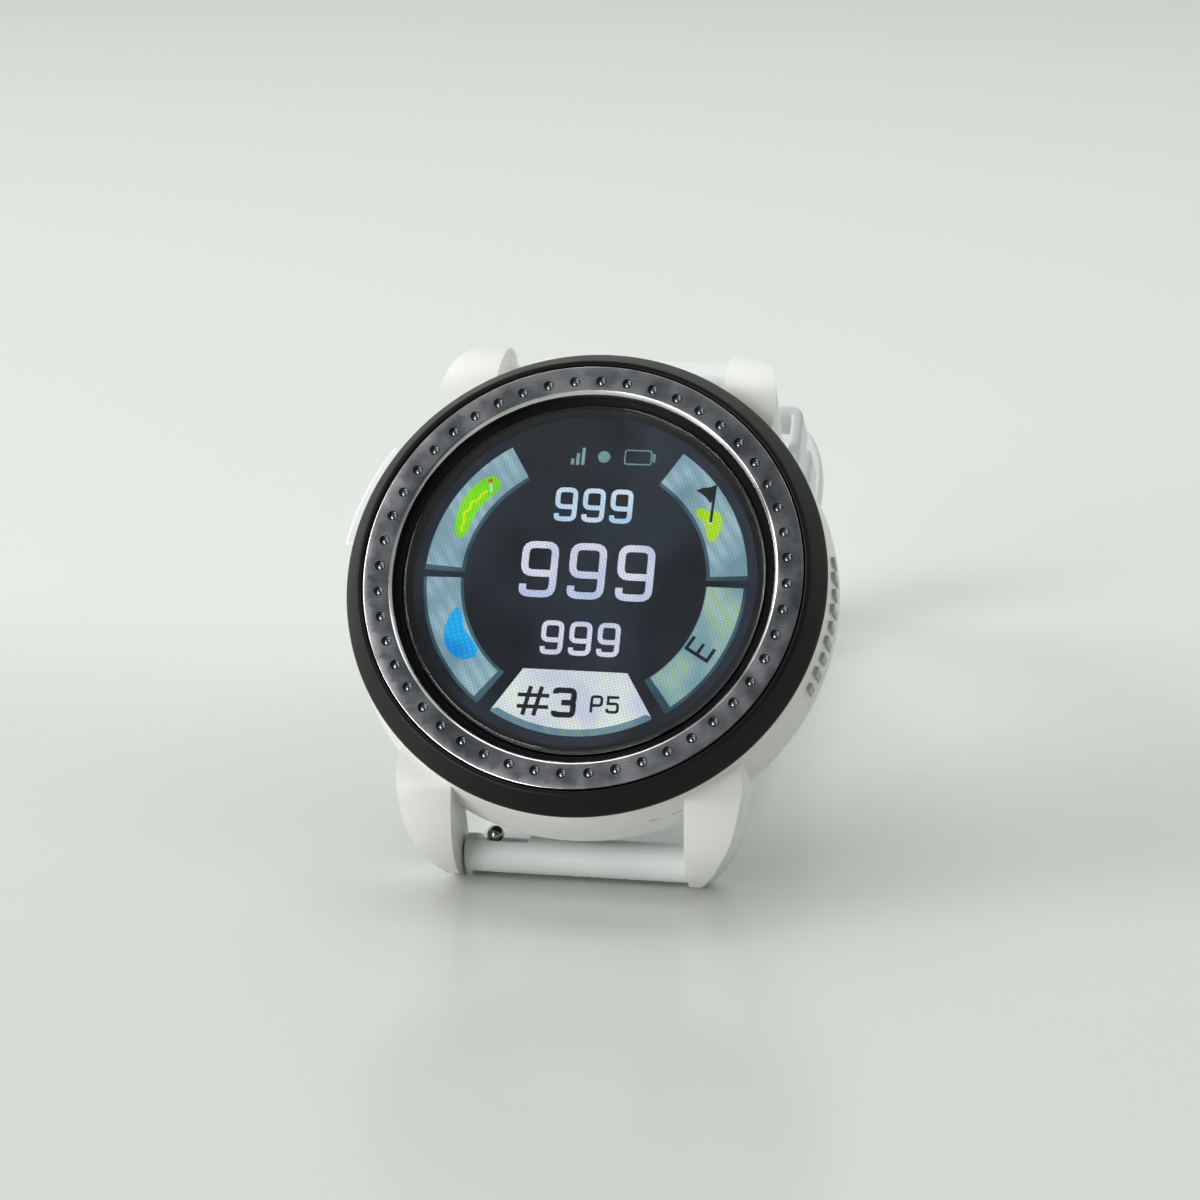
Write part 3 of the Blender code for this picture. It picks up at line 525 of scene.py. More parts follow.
def stroke(bm, points, half, low, high):
    """A flat line of even width along the points, with mitred corners."""
    sides = []
    for index, point in enumerate(points):
        before = Vector(points[max(index - 1, 0)])
        after = Vector(points[min(index + 1, len(points) - 1)])
        here = Vector(point)
        arriving = (here - before).normalized() if index else (after - here).normalized()
        leaving = (after - here).normalized() if index < len(points) - 1 else arriving
        mean = (arriving + leaving).normalized()
        across = Vector((-mean.y, mean.x)) * half / max(0.5, mean.dot(leaving))
        sides.append((here + across, here - across))
    outline = [tuple(left) for left, _ in sides] + [tuple(right) for _, right in reversed(sides)]
    count = len(points)
    base = [bm.verts.new((x, y, low)) for x, y in outline]
    top = [bm.verts.new((x, y, high)) for x, y in outline]
    for level in (base, top):
        for index in range(count - 1):
            mate = 2 * count - 1 - index
            bm.faces.new((level[index], level[index + 1], level[mate - 1], level[mate]))
    for index in range(2 * count):
        after = (index + 1) % (2 * count)
        bm.faces.new((base[index], base[after], top[after], top[index]))


def corners(points, radius, steps=4):
    """A run of points with its inner corners rounded."""
    line = [points[0]]
    for before, here, after in zip(points, points[1:], points[2:]):
        here, back, on = Vector(here), Vector(before), Vector(after)
        reach_in = min(radius, (back - here).length / 2)
        reach_out = min(radius, (on - here).length / 2)
        first = here + (back - here).normalized() * reach_in
        last = here + (on - here).normalized() * reach_out
        for step in range(steps + 1):
            t = step / steps
            line.append(tuple(first * (1 - t) ** 2 + here * 2 * t * (1 - t) + last * t * t))
    line.append(points[-1])
    return line


# ---------------------------------------------------------------- case

def lug(side, end):
    """One lug with rounded outer edges."""
    upper = flowing([(15.0, -3.5), (19.4, -3.7), (21.8, -4.6), (24.4, -6.7), (26.0, -9.4), (26.4, -12.0)], 5)
    profile = upper + arc((BAR_Y, BAR_Z), LUG_TIP, 0, -150, 18) + [(20.6, -12.2), (18.6, -10.6), (15.0, -9.5)]
    edge = flowing([(11.0, 27.4), (12.1, 26.4), (13.4, 25.2), (14.5, 23.5), (15.3, 21.9), (15.8, 20.1),
                    (16.2, 17.8), (16.3, 15.5), (15.6, 11.0)], 5)
    outline = [(LUG_GAP / 2, 11.0)] + edge
    plate = solid(prism([(y * end, z) for y, z in profile], 0.0, 20.0 * side, axis="X"), "lug_plate")
    front = prism([(x * side, y * end) for x, y in outline], -20.0, 2.0)
    for corner in front.verts:
        corner.co.y += end * LUG_DRAFT * (corner.co.z - LUG_DRAFT_FROM)
    front = solid(front, "lug_front")
    combine(plate, front, "INTERSECT")
    rounded(plate, 0.28, 3, 50.0)
    return plate


def button_outline(inner, outer, widen, steps=36):
    first = BUTTON_ANGLE - BUTTON_SPAN / 2 - widen
    last = BUTTON_ANGLE + BUTTON_SPAN / 2 + widen
    return clock_arc(first, last, outer, steps) + clock_arc(last, first, inner, steps)


def mid_case():
    wall = [(22.2, CASE_TOP), (22.5, -2.7), (22.72, -2.86), (22.82, -3.3)]
    wall += flowing([(22.95, -4.6), (23.2, -7.0), (23.33, -8.4), (23.33, -9.0), (23.16, -9.4)], 4)
    wall += [(22.95, -9.55), (22.7, CASE_BOTTOM)]
    made = solid(lathe([(0, CASE_TOP)] + wall + [(0, CASE_BOTTOM)], 240), "case_body")
    for side in (-1, 1):
        for end in (-1, 1):
            combine(made, lug(side, end), "UNION")
    hollow = [(0, 1.0), (20.75, 1.0), (20.75, -3.9), (19.6, -3.9), (19.6, CASE_BOTTOM - 0.02)]
    hollow += [(COVER_CLEARANCE, CASE_BOTTOM - 0.02), (COVER_CLEARANCE, -17.0), (0, -17.0)]
    combine(made, solid(lathe(hollow, 240), "hollow"))
    pocket = prism(button_outline(21.4, 26.0, 0.6), BUTTON_LOW - 0.2, BUTTON_HIGH + 0.2)
    combine(made, solid(pocket, "pocket"))
    turned = DIAL @ Matrix.Translation((0, 0, BUTTON_MIDDLE * MM)) @ button_turn()
    well = lathe([(0, 18.0), (1.1, 18.0), (1.1, 20.5), (1.7, 20.5), (1.7, 22.0), (0, 22.0)], 32, axis="X")
    combine(made, solid(well, "well", turned))
    for end in (-1, 1):
        bar = DIAL @ Matrix.Translation((0, BAR_Y * end * MM, BAR_Z * MM))
        hole = lathe([(0, -12.4), (0.6, -12.4), (0.6, 12.4), (0, 12.4)], 24, axis="X")
        combine(made, solid(hole, "hole", bar))
    for angle in SCREW_ANGLES:
        hole = lathe([(0, -10.5), (0.65, -10.5), (0.65, -7.2), (0, -7.2)], 24)
        bmesh.ops.translate(hole, vec=(*clock(angle, SCREW_CIRCLE), 0), verts=hole.verts[:])
        combine(made, solid(hole, "hole"))
    for angle in SLIT_ANGLES:
        slit = block(SLIT_SIZE, (0, 0, 0))
        bmesh.ops.rotate(slit, verts=slit.verts[:], matrix=Matrix.Rotation(math.radians(180 - angle), 3, "Z"))
        bmesh.ops.translate(slit, vec=(*clock(angle, 23.35), SLIT_DEPTH), verts=slit.verts[:])
        combine(made, solid(slit, "slit"))
    made.name = "case_shell"
    resmooth(made, 30.0)
    dress(made, [CASE_RESIN], "case", ["mid_case"])


def button_turn():
    out = clock(BUTTON_ANGLE, 1.0)
    return Matrix.Rotation(math.atan2(out[1], out[0]), 4, "Z")


def side_marks():
    """A row of raised grey bars on the right-hand wall, a plain pattern in place of lettering."""
    bm = bmesh.new()
    steps = 3
    for index in range(GRIP_BARS):
        middle = GRIP_START + index * GRIP_PITCH
        tall = GRIP_LONG if index % 2 else GRIP_SHORT
        turns = [middle - GRIP_HALF_TURN + 2 * GRIP_HALF_TURN * step / steps for step in range(steps + 1)]
        inner, outer = [[clock(turn, reach) for turn in turns] for reach in GRIP_REACH]
        prism(outer + inner[::-1], GRIP_HEIGHT - tall, GRIP_HEIGHT + tall, bm=bm)
    piece(bm, "side_grip_bars", [MARK_GREY], "case")


def bezel():
    profile = [(17.35, -1.3), (17.35, -2.1), (17.0, -2.1), (17.0, -2.5), (18.9, -2.5), (18.9, -3.15)]
    profile += [(20.5, -3.15), (20.5, -2.5), (22.55, -2.5), (22.76, -2.46), (22.85, -2.32), (22.82, -2.12)]
    profile += flowing([(22.74, -1.96), (22.2, -1.14), (21.56, -0.22), (21.45, -0.08)], 3)
    profile += [(21.36, -0.02), (21.25, 0.0), (21.05, -0.01), (20.97, -0.07), (20.95, -0.16), (20.95, -1.3)]
    made = lathe(profile, 240)
    piece(made, "bezel_black", [BEZEL_SATIN], "case", replaces=["outer_bezel"], smooth=30)


def band(bm, start, sector, steps, near, far, surface):
    """Faces over one sector of the ring, from one (radius, height) edge to another."""
    for step in range(steps):
        first = start + sector * step / steps
        last = start + sector * (step + 1) / steps
        quad = [(*clock(first, near[0]), near[1]), (*clock(last, near[0]), near[1]),
                (*clock(last, far[0]), far[1]), (*clock(first, far[0]), far[1])]
        bm.faces.new([bm.verts.new(point) for point in quad]).material_index = surface


def dimpled_ring():
    """Equal sectors, each with one round dimple, between a polished chamfer and a fine outer edge."""
    low, high = FLAT_INNER, FLAT_OUTER
    sector = 360 / DIMPLES
    dish = [(1.0, 0.0), (0.95, -0.10), (0.88, -0.34), (0.76, -0.43), (0.6, -0.40), (0.46, -0.30),
            (0.25, -0.25)]
    hub_depth = -0.235
    even_out = 0.35             # share of the way back from evenly spaced spokes to the sector's corners
    flat, edge, metal = 0, 1, 2
    along, up = 8, 4
    bm = bmesh.new()
    edge_profile_in = [(low, 0.0), (18.36, -0.02), (18.1, -0.27), (RING_INNER, -0.36),
                       (RING_INNER, RING_BOTTOM)]
    edge_profile_out = [(high, 0.0), (20.77, -0.03), (RING_OUTER, -0.1), (RING_OUTER, RING_BOTTOM)]
    for number in range(DIMPLES):
        start = number * sector - sector / 2
        loop = [clock(start + sector * s / along, high) for s in range(along)]
        loop += [clock(start + sector, high + (low - high) * s / up) for s in range(up)]
        loop += [clock(start + sector - sector * s / along, low) for s in range(along)]
        loop += [clock(start, low + (high - low) * s / up) for s in range(up)]
        centre = Vector(clock(number * sector, DIMPLE_CIRCLE))
        angles = [math.atan2(y - centre.y, x - centre.x) for x, y in loop]
        rings = [[bm.verts.new((x, y, 0.0)) for x, y in loop]]
        for share, depth in dish:
            ring = []
            for index, turn in enumerate(angles):
                even = angles[0] - 2 * math.pi * index / len(angles)
                gap = (turn - even + math.pi) % (2 * math.pi) - math.pi
                around_dish = even + gap * even_out
                reach = DIMPLE_RADIUS * share
                ring.append(bm.verts.new((centre.x + reach * math.cos(around_dish),
                                          centre.y + reach * math.sin(around_dish), depth)))
            rings.append(ring)
        hub = bm.verts.new((centre.x, centre.y, hub_depth))
        for outer, inner in zip(rings, rings[1:]):
            for index in range(len(outer)):
                after = (index + 1) % len(outer)
                made = bm.faces.new((outer[index], outer[after], inner[after], inner[index]))
                made.material_index = flat if outer is rings[0] else metal
        for index in range(len(rings[-1])):
            made = bm.faces.new((rings[-1][index], rings[-1][(index + 1) % len(rings[-1])], hub))
            made.material_index = metal
        for profile in (edge_profile_in, edge_profile_out):
            for near, far in zip(profile, profile[1:]):
                band(bm, start, sector, along, near, far, edge)
        band(bm, start, sector, along, edge_profile_in[-1], edge_profile_out[-1], flat)
    bmesh.ops.remove_doubles(bm, verts=bm.verts[:], dist=0.0005)
    piece(bm, "ring_dimpled", [RING_METAL, RING_EDGE, DIMPLE_METAL], "case",
          replaces=["dimpled_ring"], smooth=28)


def glass_and_film():
    lens = [(0, -0.7), (16.85, -0.7), (17.0, -0.76), (17.1, -0.86), (17.15, -1.0), (17.15, -1.9), (0, -1.9)]
    piece(lathe(lens, 192), "lens", [LENS], "case", replaces=["cover_glass"], smooth=30)
    film = lathe([(0, -1.98), (16.2, -1.98), (16.2, -2.14), (0, -2.14)], 128)
    piece(film, "touch_film_clear", [FILM], "case", replaces=["touch_film"])
    border = lathe([(16.22, -1.93), (16.97, -1.93), (16.97, -2.08), (16.22, -2.08)], 192)
    piece(border, "lens_border", [BORDER_PRINT], "case")


# ---------------------------------------------------------------- display

PANEL_TOP = -2.25
LAYER = 0.02


def layer(number):
    """Low and high of a display layer above the panel."""
    return PANEL_TOP + LAYER * (number - 1), PANEL_TOP + LAYER * number


def screen_piece(bm, name, surface):
    piece(bm, name, [surface], "case", smooth=30)


def segment(name, first, last, surface, inner_strip, outer_strip, first_strip, last_strip):
    """A bevelled ring segment: a darker edge plate and a lit face that leaves its edges showing."""
    steps = 30
    per_mm = 360 / (2 * math.pi * 13.3)         # degrees for each millimetre at the middle of the segment
    plate = clock_arc(first, last, SEGMENT_OUTER, steps) + clock_arc(last, first, SEGMENT_INNER, steps)
    screen_piece(prism(plate, *layer(1)), name + "_edge", TEAL_EDGE)
    start, end = first + first_strip * per_mm, last - last_strip * per_mm
    lit = clock_arc(start, end, SEGMENT_OUTER - outer_strip, steps)
    lit += clock_arc(end, start, SEGMENT_INNER + inner_strip, steps)
    screen_piece(prism(lit, *layer(2)), name, surface)


def nine(bm, x, y, width, height, half, low, high):
    """A rounded, open 9. x, y is its lower left corner."""
    left, right = x + half, x + width - half
    bottom, top = y + half, y + height - half
    waist = y + height * 0.43
    path = [(left, y + height * 0.23), (left, bottom), (right, bottom), (right, top), (left, top),
            (left, waist), (right - half, waist)]
    stroke(bm, corners(path, width * 0.24), half, low, high)


def digits(name, centre, width, height, pitch, half, surface):
    bm = bmesh.new()
    for place in (-1, 0, 1):
        left = centre[0] + place * pitch - width / 2
        nine(bm, left, centre[1] - height / 2, width, height, half, *layer(1))
    screen_piece(bm, name, surface)


def display():
    panel = [(0, PANEL_TOP), (16.45, PANEL_TOP), (16.55, -2.35), (16.55, -3.35), (0, -3.35)]
    piece(lathe(panel, 128), "screen_panel", [SCREEN_DARK], "case", replaces=["display_panel"])
    segment("segment_upper_right", 32.4, 87.4, TEAL, 0.34, 0.0, 0.0, 0.4)
    segment("segment_lower_right", 90.4, 145.3, TEAL_GREEN, 0.1, 0.3, 0.0, 0.7)
    segment("segment_lower_left", 215.8, 268.8, TEAL, 0.3, 0.3, 0.6, 0.0)
    segment("segment_upper_left", 271.6, 327.6, TEAL, 0.36, 0.05, 0.45, 0.0)
    base = [(-4.95, -8.8), (4.9, -8.8), (7.5, -12.95)] + clock_arc(150.2, 209.8, 15.1, 24) + [(-7.6, -12.95)]
    screen_piece(prism(base, *layer(1)), "hole_panel_edge", PALE_EDGE)
    lit = [(-4.9, -8.8), (4.85, -8.8), (7.4, -12.8)] + clock_arc(151.4, 208.6, 14.45, 24) + [(-7.5, -12.8)]
    screen_piece(prism(lit, *layer(2)), "hole_panel", PALE)
    digits("digits_top", (0.15, 7.42), 2.12, 3.35, 2.63, 0.23, DIGIT_BLUE)
    digits("digits_middle", (0.15, 0.92), 3.48, 5.5, 4.56, 0.34, DIGIT)
    digits("digits_bottom", (0.15, -5.68), 2.12, 3.3, 2.66, 0.23, DIGIT)
    status_icons()
    hole_label()
    patches()


def status_icons():
    signal = bmesh.new()
    for index in range(3):
        left, right, top = -2.45 + index * 0.5, -2.15 + index * 0.5, 12.0 + 0.55 * index
        prism([(left, 11.4), (right, 11.4), (right, top), (left, top)], *layer(1), bm=signal)
    screen_piece(signal, "icon_signal", ICON_TEAL)
    screen_piece(prism(arc((0.67, 12.28), 0.58, 0, 350, 35), *layer(1)), "icon_dot", ICON_TEAL)
    battery = bmesh.new()
    outline = [(4.0, 11.66), (5.16, 11.66), (5.16, 13.04), (2.66, 13.04), (2.66, 11.66), (4.02, 11.66)]
    stroke(battery, corners(outline, 0.2), 0.06, *layer(1))
    prism([(5.3, 11.95), (5.55, 11.95), (5.55, 12.75), (5.3, 12.75)], *layer(1), bm=battery)
    screen_piece(battery, "icon_battery", ICON_TEAL)


def hole_label():
    """The hole number and par on the pale panel, and the compass letter on the right."""
    low, high = layer(3)
    bm = bmesh.new()
    half = 0.2
    for x in (-4.28, -3.24):
        stroke(bm, [(x - 0.28, -13.3), (x + 0.28, -10.5)], half, low, high)
    for y in (-11.35, -12.45):
        stroke(bm, [(-5.15, y), (-2.2, y)], half * 0.9, low, high)
    half = 0.27
    left, right, bottom, top = -1.62, 0.12, -13.1, -10.75
    waist = (bottom + top) / 2
    stroke(bm, corners([(left, top - 0.35), (left, top), (right, top), (right, waist), (-1.0, waist)], 0.4),
           half, low, high)
    stroke(bm, corners([(left, bottom + 0.35), (left, bottom), (right, bottom), (right, waist)], 0.4),
           half, low, high)
    half = 0.13
    stroke(bm, corners([(1.82, -12.75), (1.82, -11.2), (2.75, -11.2), (2.75, -12.05), (1.82, -12.05)], 0.28),
           half, low, high)
    bowl = corners([(3.35, -11.82), (4.28, -11.82), (4.28, -12.62), (3.3, -12.62), (3.3, -12.3)], 0.26)
    stroke(bm, [(4.36, -11.2), (3.35, -11.2), (3.35, -11.82)] + bowl[1:], half, low, high)
    screen_piece(bm, "hole_label", LABEL_BLACK)
    letter = bmesh.new()
    middle = Vector((11.45, -6.15))
    right = Vector((math.cos(math.radians(60)), math.sin(math.radians(60))))
    upward = Vector((-right.y, right.x))

    def spot(x, y):
        return tuple(middle + right * x + upward * y)

    open_side = [spot(0.72, 1.15), spot(-0.62, 1.15), spot(-0.62, -1.15), spot(0.72, -1.15)]
    stroke(letter, open_side, 0.16, low, high)
    stroke(letter, [spot(-0.46, 0), spot(0.58, 0)], 0.15, low, high)
    screen_piece(letter, "compass_letter", LABEL_BLACK)


def patches():
    """Green, water and flag pictograms on the segments."""
    lower = layer(3)
    upper = layer(4)
    fairway = [(-9.0, 9.5), (-9.75, 9.95), (-10.8, 9.4), (-11.9, 8.2), (-12.55, 6.9), (-12.85, 5.4),
               (-12.7, 4.1), (-12.1, 3.65), (-11.65, 4.2), (-11.3, 5.4), (-10.6, 6.8), (-9.6, 7.95),
               (-8.95, 8.7)]
    screen_piece(prism(flowing(fairway, 4, True), *lower), "fairway_patch", FAIRWAY)
    line = bmesh.new()
    path = [(-10.1, 8.4), (-10.6, 8.1), (-10.9, 7.5), (-11.5, 7.2), (-11.6, 6.6), (-12.1, 6.1), (-12.0, 5.3),
            (-12.2, 4.8), (-12.15, 4.3)]
    stroke(line, flowing(path, 3), 0.11, *upper)
    screen_piece(line, "fairway_line", YELLOW)
    pin = bmesh.new()
    stroke(pin, [(-9.72, 8.3), (-9.85, 9.2)], 0.09, *upper)
    screen_piece(pin, "fairway_pin", DIGIT_BLUE)
    screen_piece(prism([(-9.8, 9.15), (-9.7, 9.65), (-10.25, 9.5)], *upper), "fairway_flag", FLAG_RED)
    water = [(-11.55, -3.3), (-11.15, -4.2), (-10.95, -5.1), (-10.3, -5.95), (-9.7, -6.7), (-9.4, -7.6),
             (-9.9, -8.1), (-10.9, -8.2), (-11.9, -7.7), (-12.6, -6.7), (-12.75, -5.4), (-12.5, -4.3),
             (-12.0, -3.4)]
    screen_piece(prism(flowing(water, 4, True), *lower), "water_patch", WATER)
    green = [(9.85, 7.35), (10.5, 7.6), (11.2, 7.2), (12.0, 7.3), (12.35, 6.6), (12.4, 5.7), (12.0, 4.7),
             (11.5, 4.25), (11.05, 4.8), (10.95, 5.6), (10.6, 6.3), (10.0, 6.7)]
    screen_piece(prism(flowing(green, 4, True), *lower), "green_patch", GREEN_SPOT)
    screen_piece(prism(arc((11.3, 6.25), 0.2, 0, 330, 11), *upper), "green_cup", DIGIT_BLUE)
    flag = bmesh.new()
    stroke(flag, [(11.33, 6.2), (11.5, 9.9)], 0.13, *layer(5))
    screen_piece(flag, "green_pin", LABEL_BLACK)
    cloth = [(11.4, 9.85), (10.9, 9.65), (10.3, 9.6), (9.7, 9.3), (10.2, 9.0), (10.7, 8.65), (11.1, 8.1),
             (11.3, 8.3)]
    screen_piece(prism(cloth, *layer(4)), "green_flag", LABEL_BLACK)


# ---------------------------------------------------------------- button and back

def side_button():
    cap = prism(button_outline(22.45, 24.05, 0.0), BUTTON_LOW, BUTTON_HIGH)
    made = piece(cap, "button_cap_gloss", [BUTTON_RESIN], "button",
                 replaces=["button_cap"])
    rounded(made, 0.42, 5, 50.0)
    resmooth(made)


def back():
    cover = [(0, -12.6), (19.0, -12.6), (19.0, -9.0), (19.4, -9.0), (19.4, -9.75), (19.65, -9.75)]
    cover += [(19.65, -10.35), (20.5, -10.35), (20.5, -9.75), (22.4, -9.75), (22.62, -9.82), (22.7, -10.0)]
    cover += [(22.62, -10.5), (22.45, -10.9), (22.2, -11.05), (21.0, -11.16), (20.75, -11.25), (20.55, -11.6)]
    cover += [(20.1, -13.05), (19.95, -13.45), (19.6, -13.75), (19.2, COVER_BOTTOM), (17.0, COVER_BOTTOM)]
    cover += [(16.9, -13.68), (16.5, -13.68), (16.4, COVER_BOTTOM), (0, COVER_BOTTOM)]
    made = solid(lathe(cover, 192), "cover_back")
    for angle in SCREW_ANGLES:
        bore = lathe([(0, -9.0), (0.75, -9.0), (0.75, -10.6), (1.35, -10.6), (1.35, -13.0), (0, -13.0)], 32)
        bmesh.ops.translate(bore, vec=(*clock(angle, SCREW_CIRCLE), 0), verts=bore.verts[:])
        combine(made, solid(bore, "bore"))
    contacts = [(CONTACT_PITCH * (index - 1.5), CONTACT_Y, 0) for index in range(4)]
    for contact in contacts:
        bore = lathe([(0, -12.0), (0.9, -12.0), (0.9, -14.5), (0, -14.5)], 32)
        bmesh.ops.translate(bore, vec=contact, verts=bore.verts[:])
        combine(made, solid(bore, "bore"))
    recess = prism([(x * 7.4, CONTACT_Y + y * 1.6) for x, y in
                    ((-1, -0.6), (-0.93, -1), (0.93, -1), (1, -0.6),
                     (1, 0.6), (0.93, 1), (-0.93, 1), (-1, 0.6))],
                   -14.2, -13.62)
    combine(made, solid(recess, "recess"))
    window = lathe([(0, -14.2), (4.2, -14.2), (4.2, -13.66), (0, -13.66)], 64)
    combine(made, solid(window, "window"))
    resmooth(made, 30.0)
    dress(made, [BLACK_RESIN], "case", ["back_cover"])
    for index, angle in enumerate(SCREW_ANGLES):
        body = [(0, -7.5), (0.4, -7.5), (0.5, -7.65), (0.5, -10.65), (1.15, -10.65), (1.2, -10.7),
                (1.2, -11.08), (1.1, -11.24), (0.9, -11.3), (0, -11.3)]
        place = DIAL @ Matrix.Translation(Vector((*clock(angle, SCREW_CIRCLE), 0)) * MM)
        screw = solid(lathe(body, 32), f"screw_{index + 1}", place)
        socket = prism(arc((0, 0), 0.6, 15 * index, 15 * index + 300, 5), -11.6, -10.95)
        combine(screw, solid(socket, "socket", place))
        resmooth(screw)
        dress(screw, [STEEL], "case", [f"back_screw_{index + 1}"])
        pad = [(0, -12.0), (0.55, -12.0), (0.55, -12.5), (0.75, -12.7), (0.75, -13.5), (0.7, -13.64)]
        pad += [(0.58, -13.72), (0, -13.75)]
        place = DIAL @ Matrix.Translation(Vector(contacts[index]) * MM)
        piece(lathe(pad, 32), f"contact_{index + 1}", [GOLD], "case", place,
              [f"charging_contact_{index + 1}"])


# ---------------------------------------------------------------- strap

def strap_half(stations, outer_side):
    """A strap half as one closed loft: rounded edges, a pebbled outer face and a smooth inner one.

    outer_side is +1 when the outer face lies along the stations' normal, else -1.
    """
    across, edge, under = 44, 7, 8        # steps over the outer face, round an edge and under the inner face
    round_off, grain_fade = 0.55, 1.2
    sections = []
    for distance, point, heading, half_width, half_thick in stations:
        normal = Vector((0, -math.sin(heading), math.cos(heading))) * outer_side
        middle = Vector((0, *point))
        ring = []
        flat = half_width - round_off
        turns = [math.pi / 2 * step / edge for step in range(edge + 1)]

        def spot(x, n):
            return middle + Vector((x, 0, 0)) + normal * n

        inner_n = half_thick - round_off
        for step in range(across + 1):
            x = -flat + 2 * flat * step / across
            fade = max(0.0, min(1.0, (flat - abs(x)) / grain_fade))
            bumpy = (pebble(Vector((x, distance, 0.0))) - PEBBLE_PEAK) * fade
            ring.append(spot(x, half_thick + bumpy))
        ring += [spot(flat + round_off * math.sin(t), inner_n + round_off * math.cos(t)) for t in turns[1:]]
        ring += [spot(flat + round_off * math.cos(t), -inner_n - round_off * math.sin(t)) for t in turns[:-1]]
        ring += [spot(flat - 2 * flat * step / under, -half_thick) for step in range(under + 1)]
        ring += [spot(-flat - round_off * math.sin(t), -inner_n - round_off * math.cos(t)) for t in turns[1:]]
        ring += [spot(-flat - round_off * math.cos(t), inner_n + round_off * math.sin(t)) for t in turns[:-1]]
        sections.append(ring)
    bm = loft(sections)
    bm.faces.ensure_lookup_table()
    # The loft starts with its two caps, and each ring's first faces are the outer face of the strap.
    count = len(sections[0])
    for station in range(len(stations) - 1):
        for index in range(across):
            bm.faces[2 + station * count + index].material_index = 1
    return bm


def pebble(where):
    """Height of the moulded pebble grain, in millimetres."""
    cells = noise.voronoi(where * 1.5)[0]
    return 0.055 * (0.5 - cells[0] * 1.1) + 0.018 * noise.noise(where * 4.2)


def barrel(radius, half_length, grain=None):
    """A barrel across the strap. Between two angles its skin is pebbled, past a raised seam line."""
    around_steps, inner = 96, 60
    edge, seam_height, fade_degrees, fade_end = 0.3, 0.035, 8, 0.8
    lengths = [-half_length + edge * (1 - math.cos(math.pi / 2 * s / 4)) for s in range(5)]
    body = [-half_length + edge + 2 * (half_length - edge) * s / inner for s in range(1, inner)]
    lengths = lengths + body + [-x for x in reversed(lengths)]
    sections = []
    for x in lengths:
        from_end = half_length - abs(x)
        shrink = 0.0
        if from_end < edge:
            shrink = edge - math.sqrt(max(0.0, edge ** 2 - (edge - from_end) ** 2))
        ring = []
        for step in range(around_steps):
            turn = 2 * math.pi * step / around_steps
            degrees = math.degrees(turn)
            extra = 0.0
            if grain and grain[0] < degrees < grain[1]:
                fade = min(1.0, (degrees - grain[0]) / fade_degrees, (grain[1] - degrees) / fade_degrees,
                           from_end / fade_end)
                extra = seam_height + pebble(Vector((x, turn * radius, 3.0))) * max(0.0, fade)
            reach = radius - shrink + extra
            ring.append(Vector((x, reach * math.cos(turn), reach * math.sin(turn))))
        sections.append(ring)
    return loft(sections)


def finish_strap(made, name, body, node):
    made.name = name
    resmooth(made, 32.0)
    dress(made, [], body, [node])


def silicone(bm, name, place):
    """A solid whose first material is the smooth silicone and whose second is the pebbled one."""
    made = solid(bm, name, place)
    made.data.materials.append(SILICONE)
    made.data.materials.append(PEBBLED)
    return made


def join_barrel(strap, shell, bore, place):
    combine(strap, silicone(shell, "barrel", place), "UNION")
    combine(strap, solid(cross_hole(bore, 14.0), "hole", place))


def strap_size(distance, length):
    """Half the width and half the thickness of a strap half at a distance from its bar."""
    half = (STRAP_WIDTH + (STRAP_END_WIDTH - STRAP_WIDTH) * distance / length) / 2
    return half, STRAP_THICKNESS / 2 + max(0.0, ROOT_SWELL * (1 - distance / ROOT_LENGTH))


def cross_hole(radius, half_length):
    return lathe([(0, -half_length), (radius, -half_length), (radius, half_length), (0, half_length)], 32,
                 axis="X")


def slot_cutter(half_length, half_width, depth):
    """A rounded slot through the strap, longer along it."""
    straight = half_length - half_width
    outline = arc((0, straight), half_width, 0, 180, 12) + arc((0, -straight), half_width, 180, 360, 12)
    return prism(outline, -depth, depth)


def knob_scoop(knob_side):
    """The rounded notch round a release knob. Its front wall stays, so that only the knob's head shows."""
    middle = KNOB_X + KNOB_TRAVEL / 2
    outline = [(middle - 3.6, 2.6), (middle - 2.75, 1.95), (middle - 2.3, 1.3), (middle - 2.05, 0.75),
               (middle - 1.7, 0.42), (middle + 1.7, 0.42), (middle + 2.05, 0.75), (middle + 2.3, 1.3),
               (middle + 2.75, 1.95), (middle + 3.6, 2.6)]
    outline = flowing(outline, 5) + [(middle + 3.6, 3.4), (middle - 3.6, 3.4)]
    bm = prism([(x, z * knob_side) for x, z in outline], -2.3, 1.02)
    bmesh.ops.rotate(bm, verts=bm.verts[:], matrix=Matrix.Rotation(math.pi / 2, 3, "X"))
    return bm


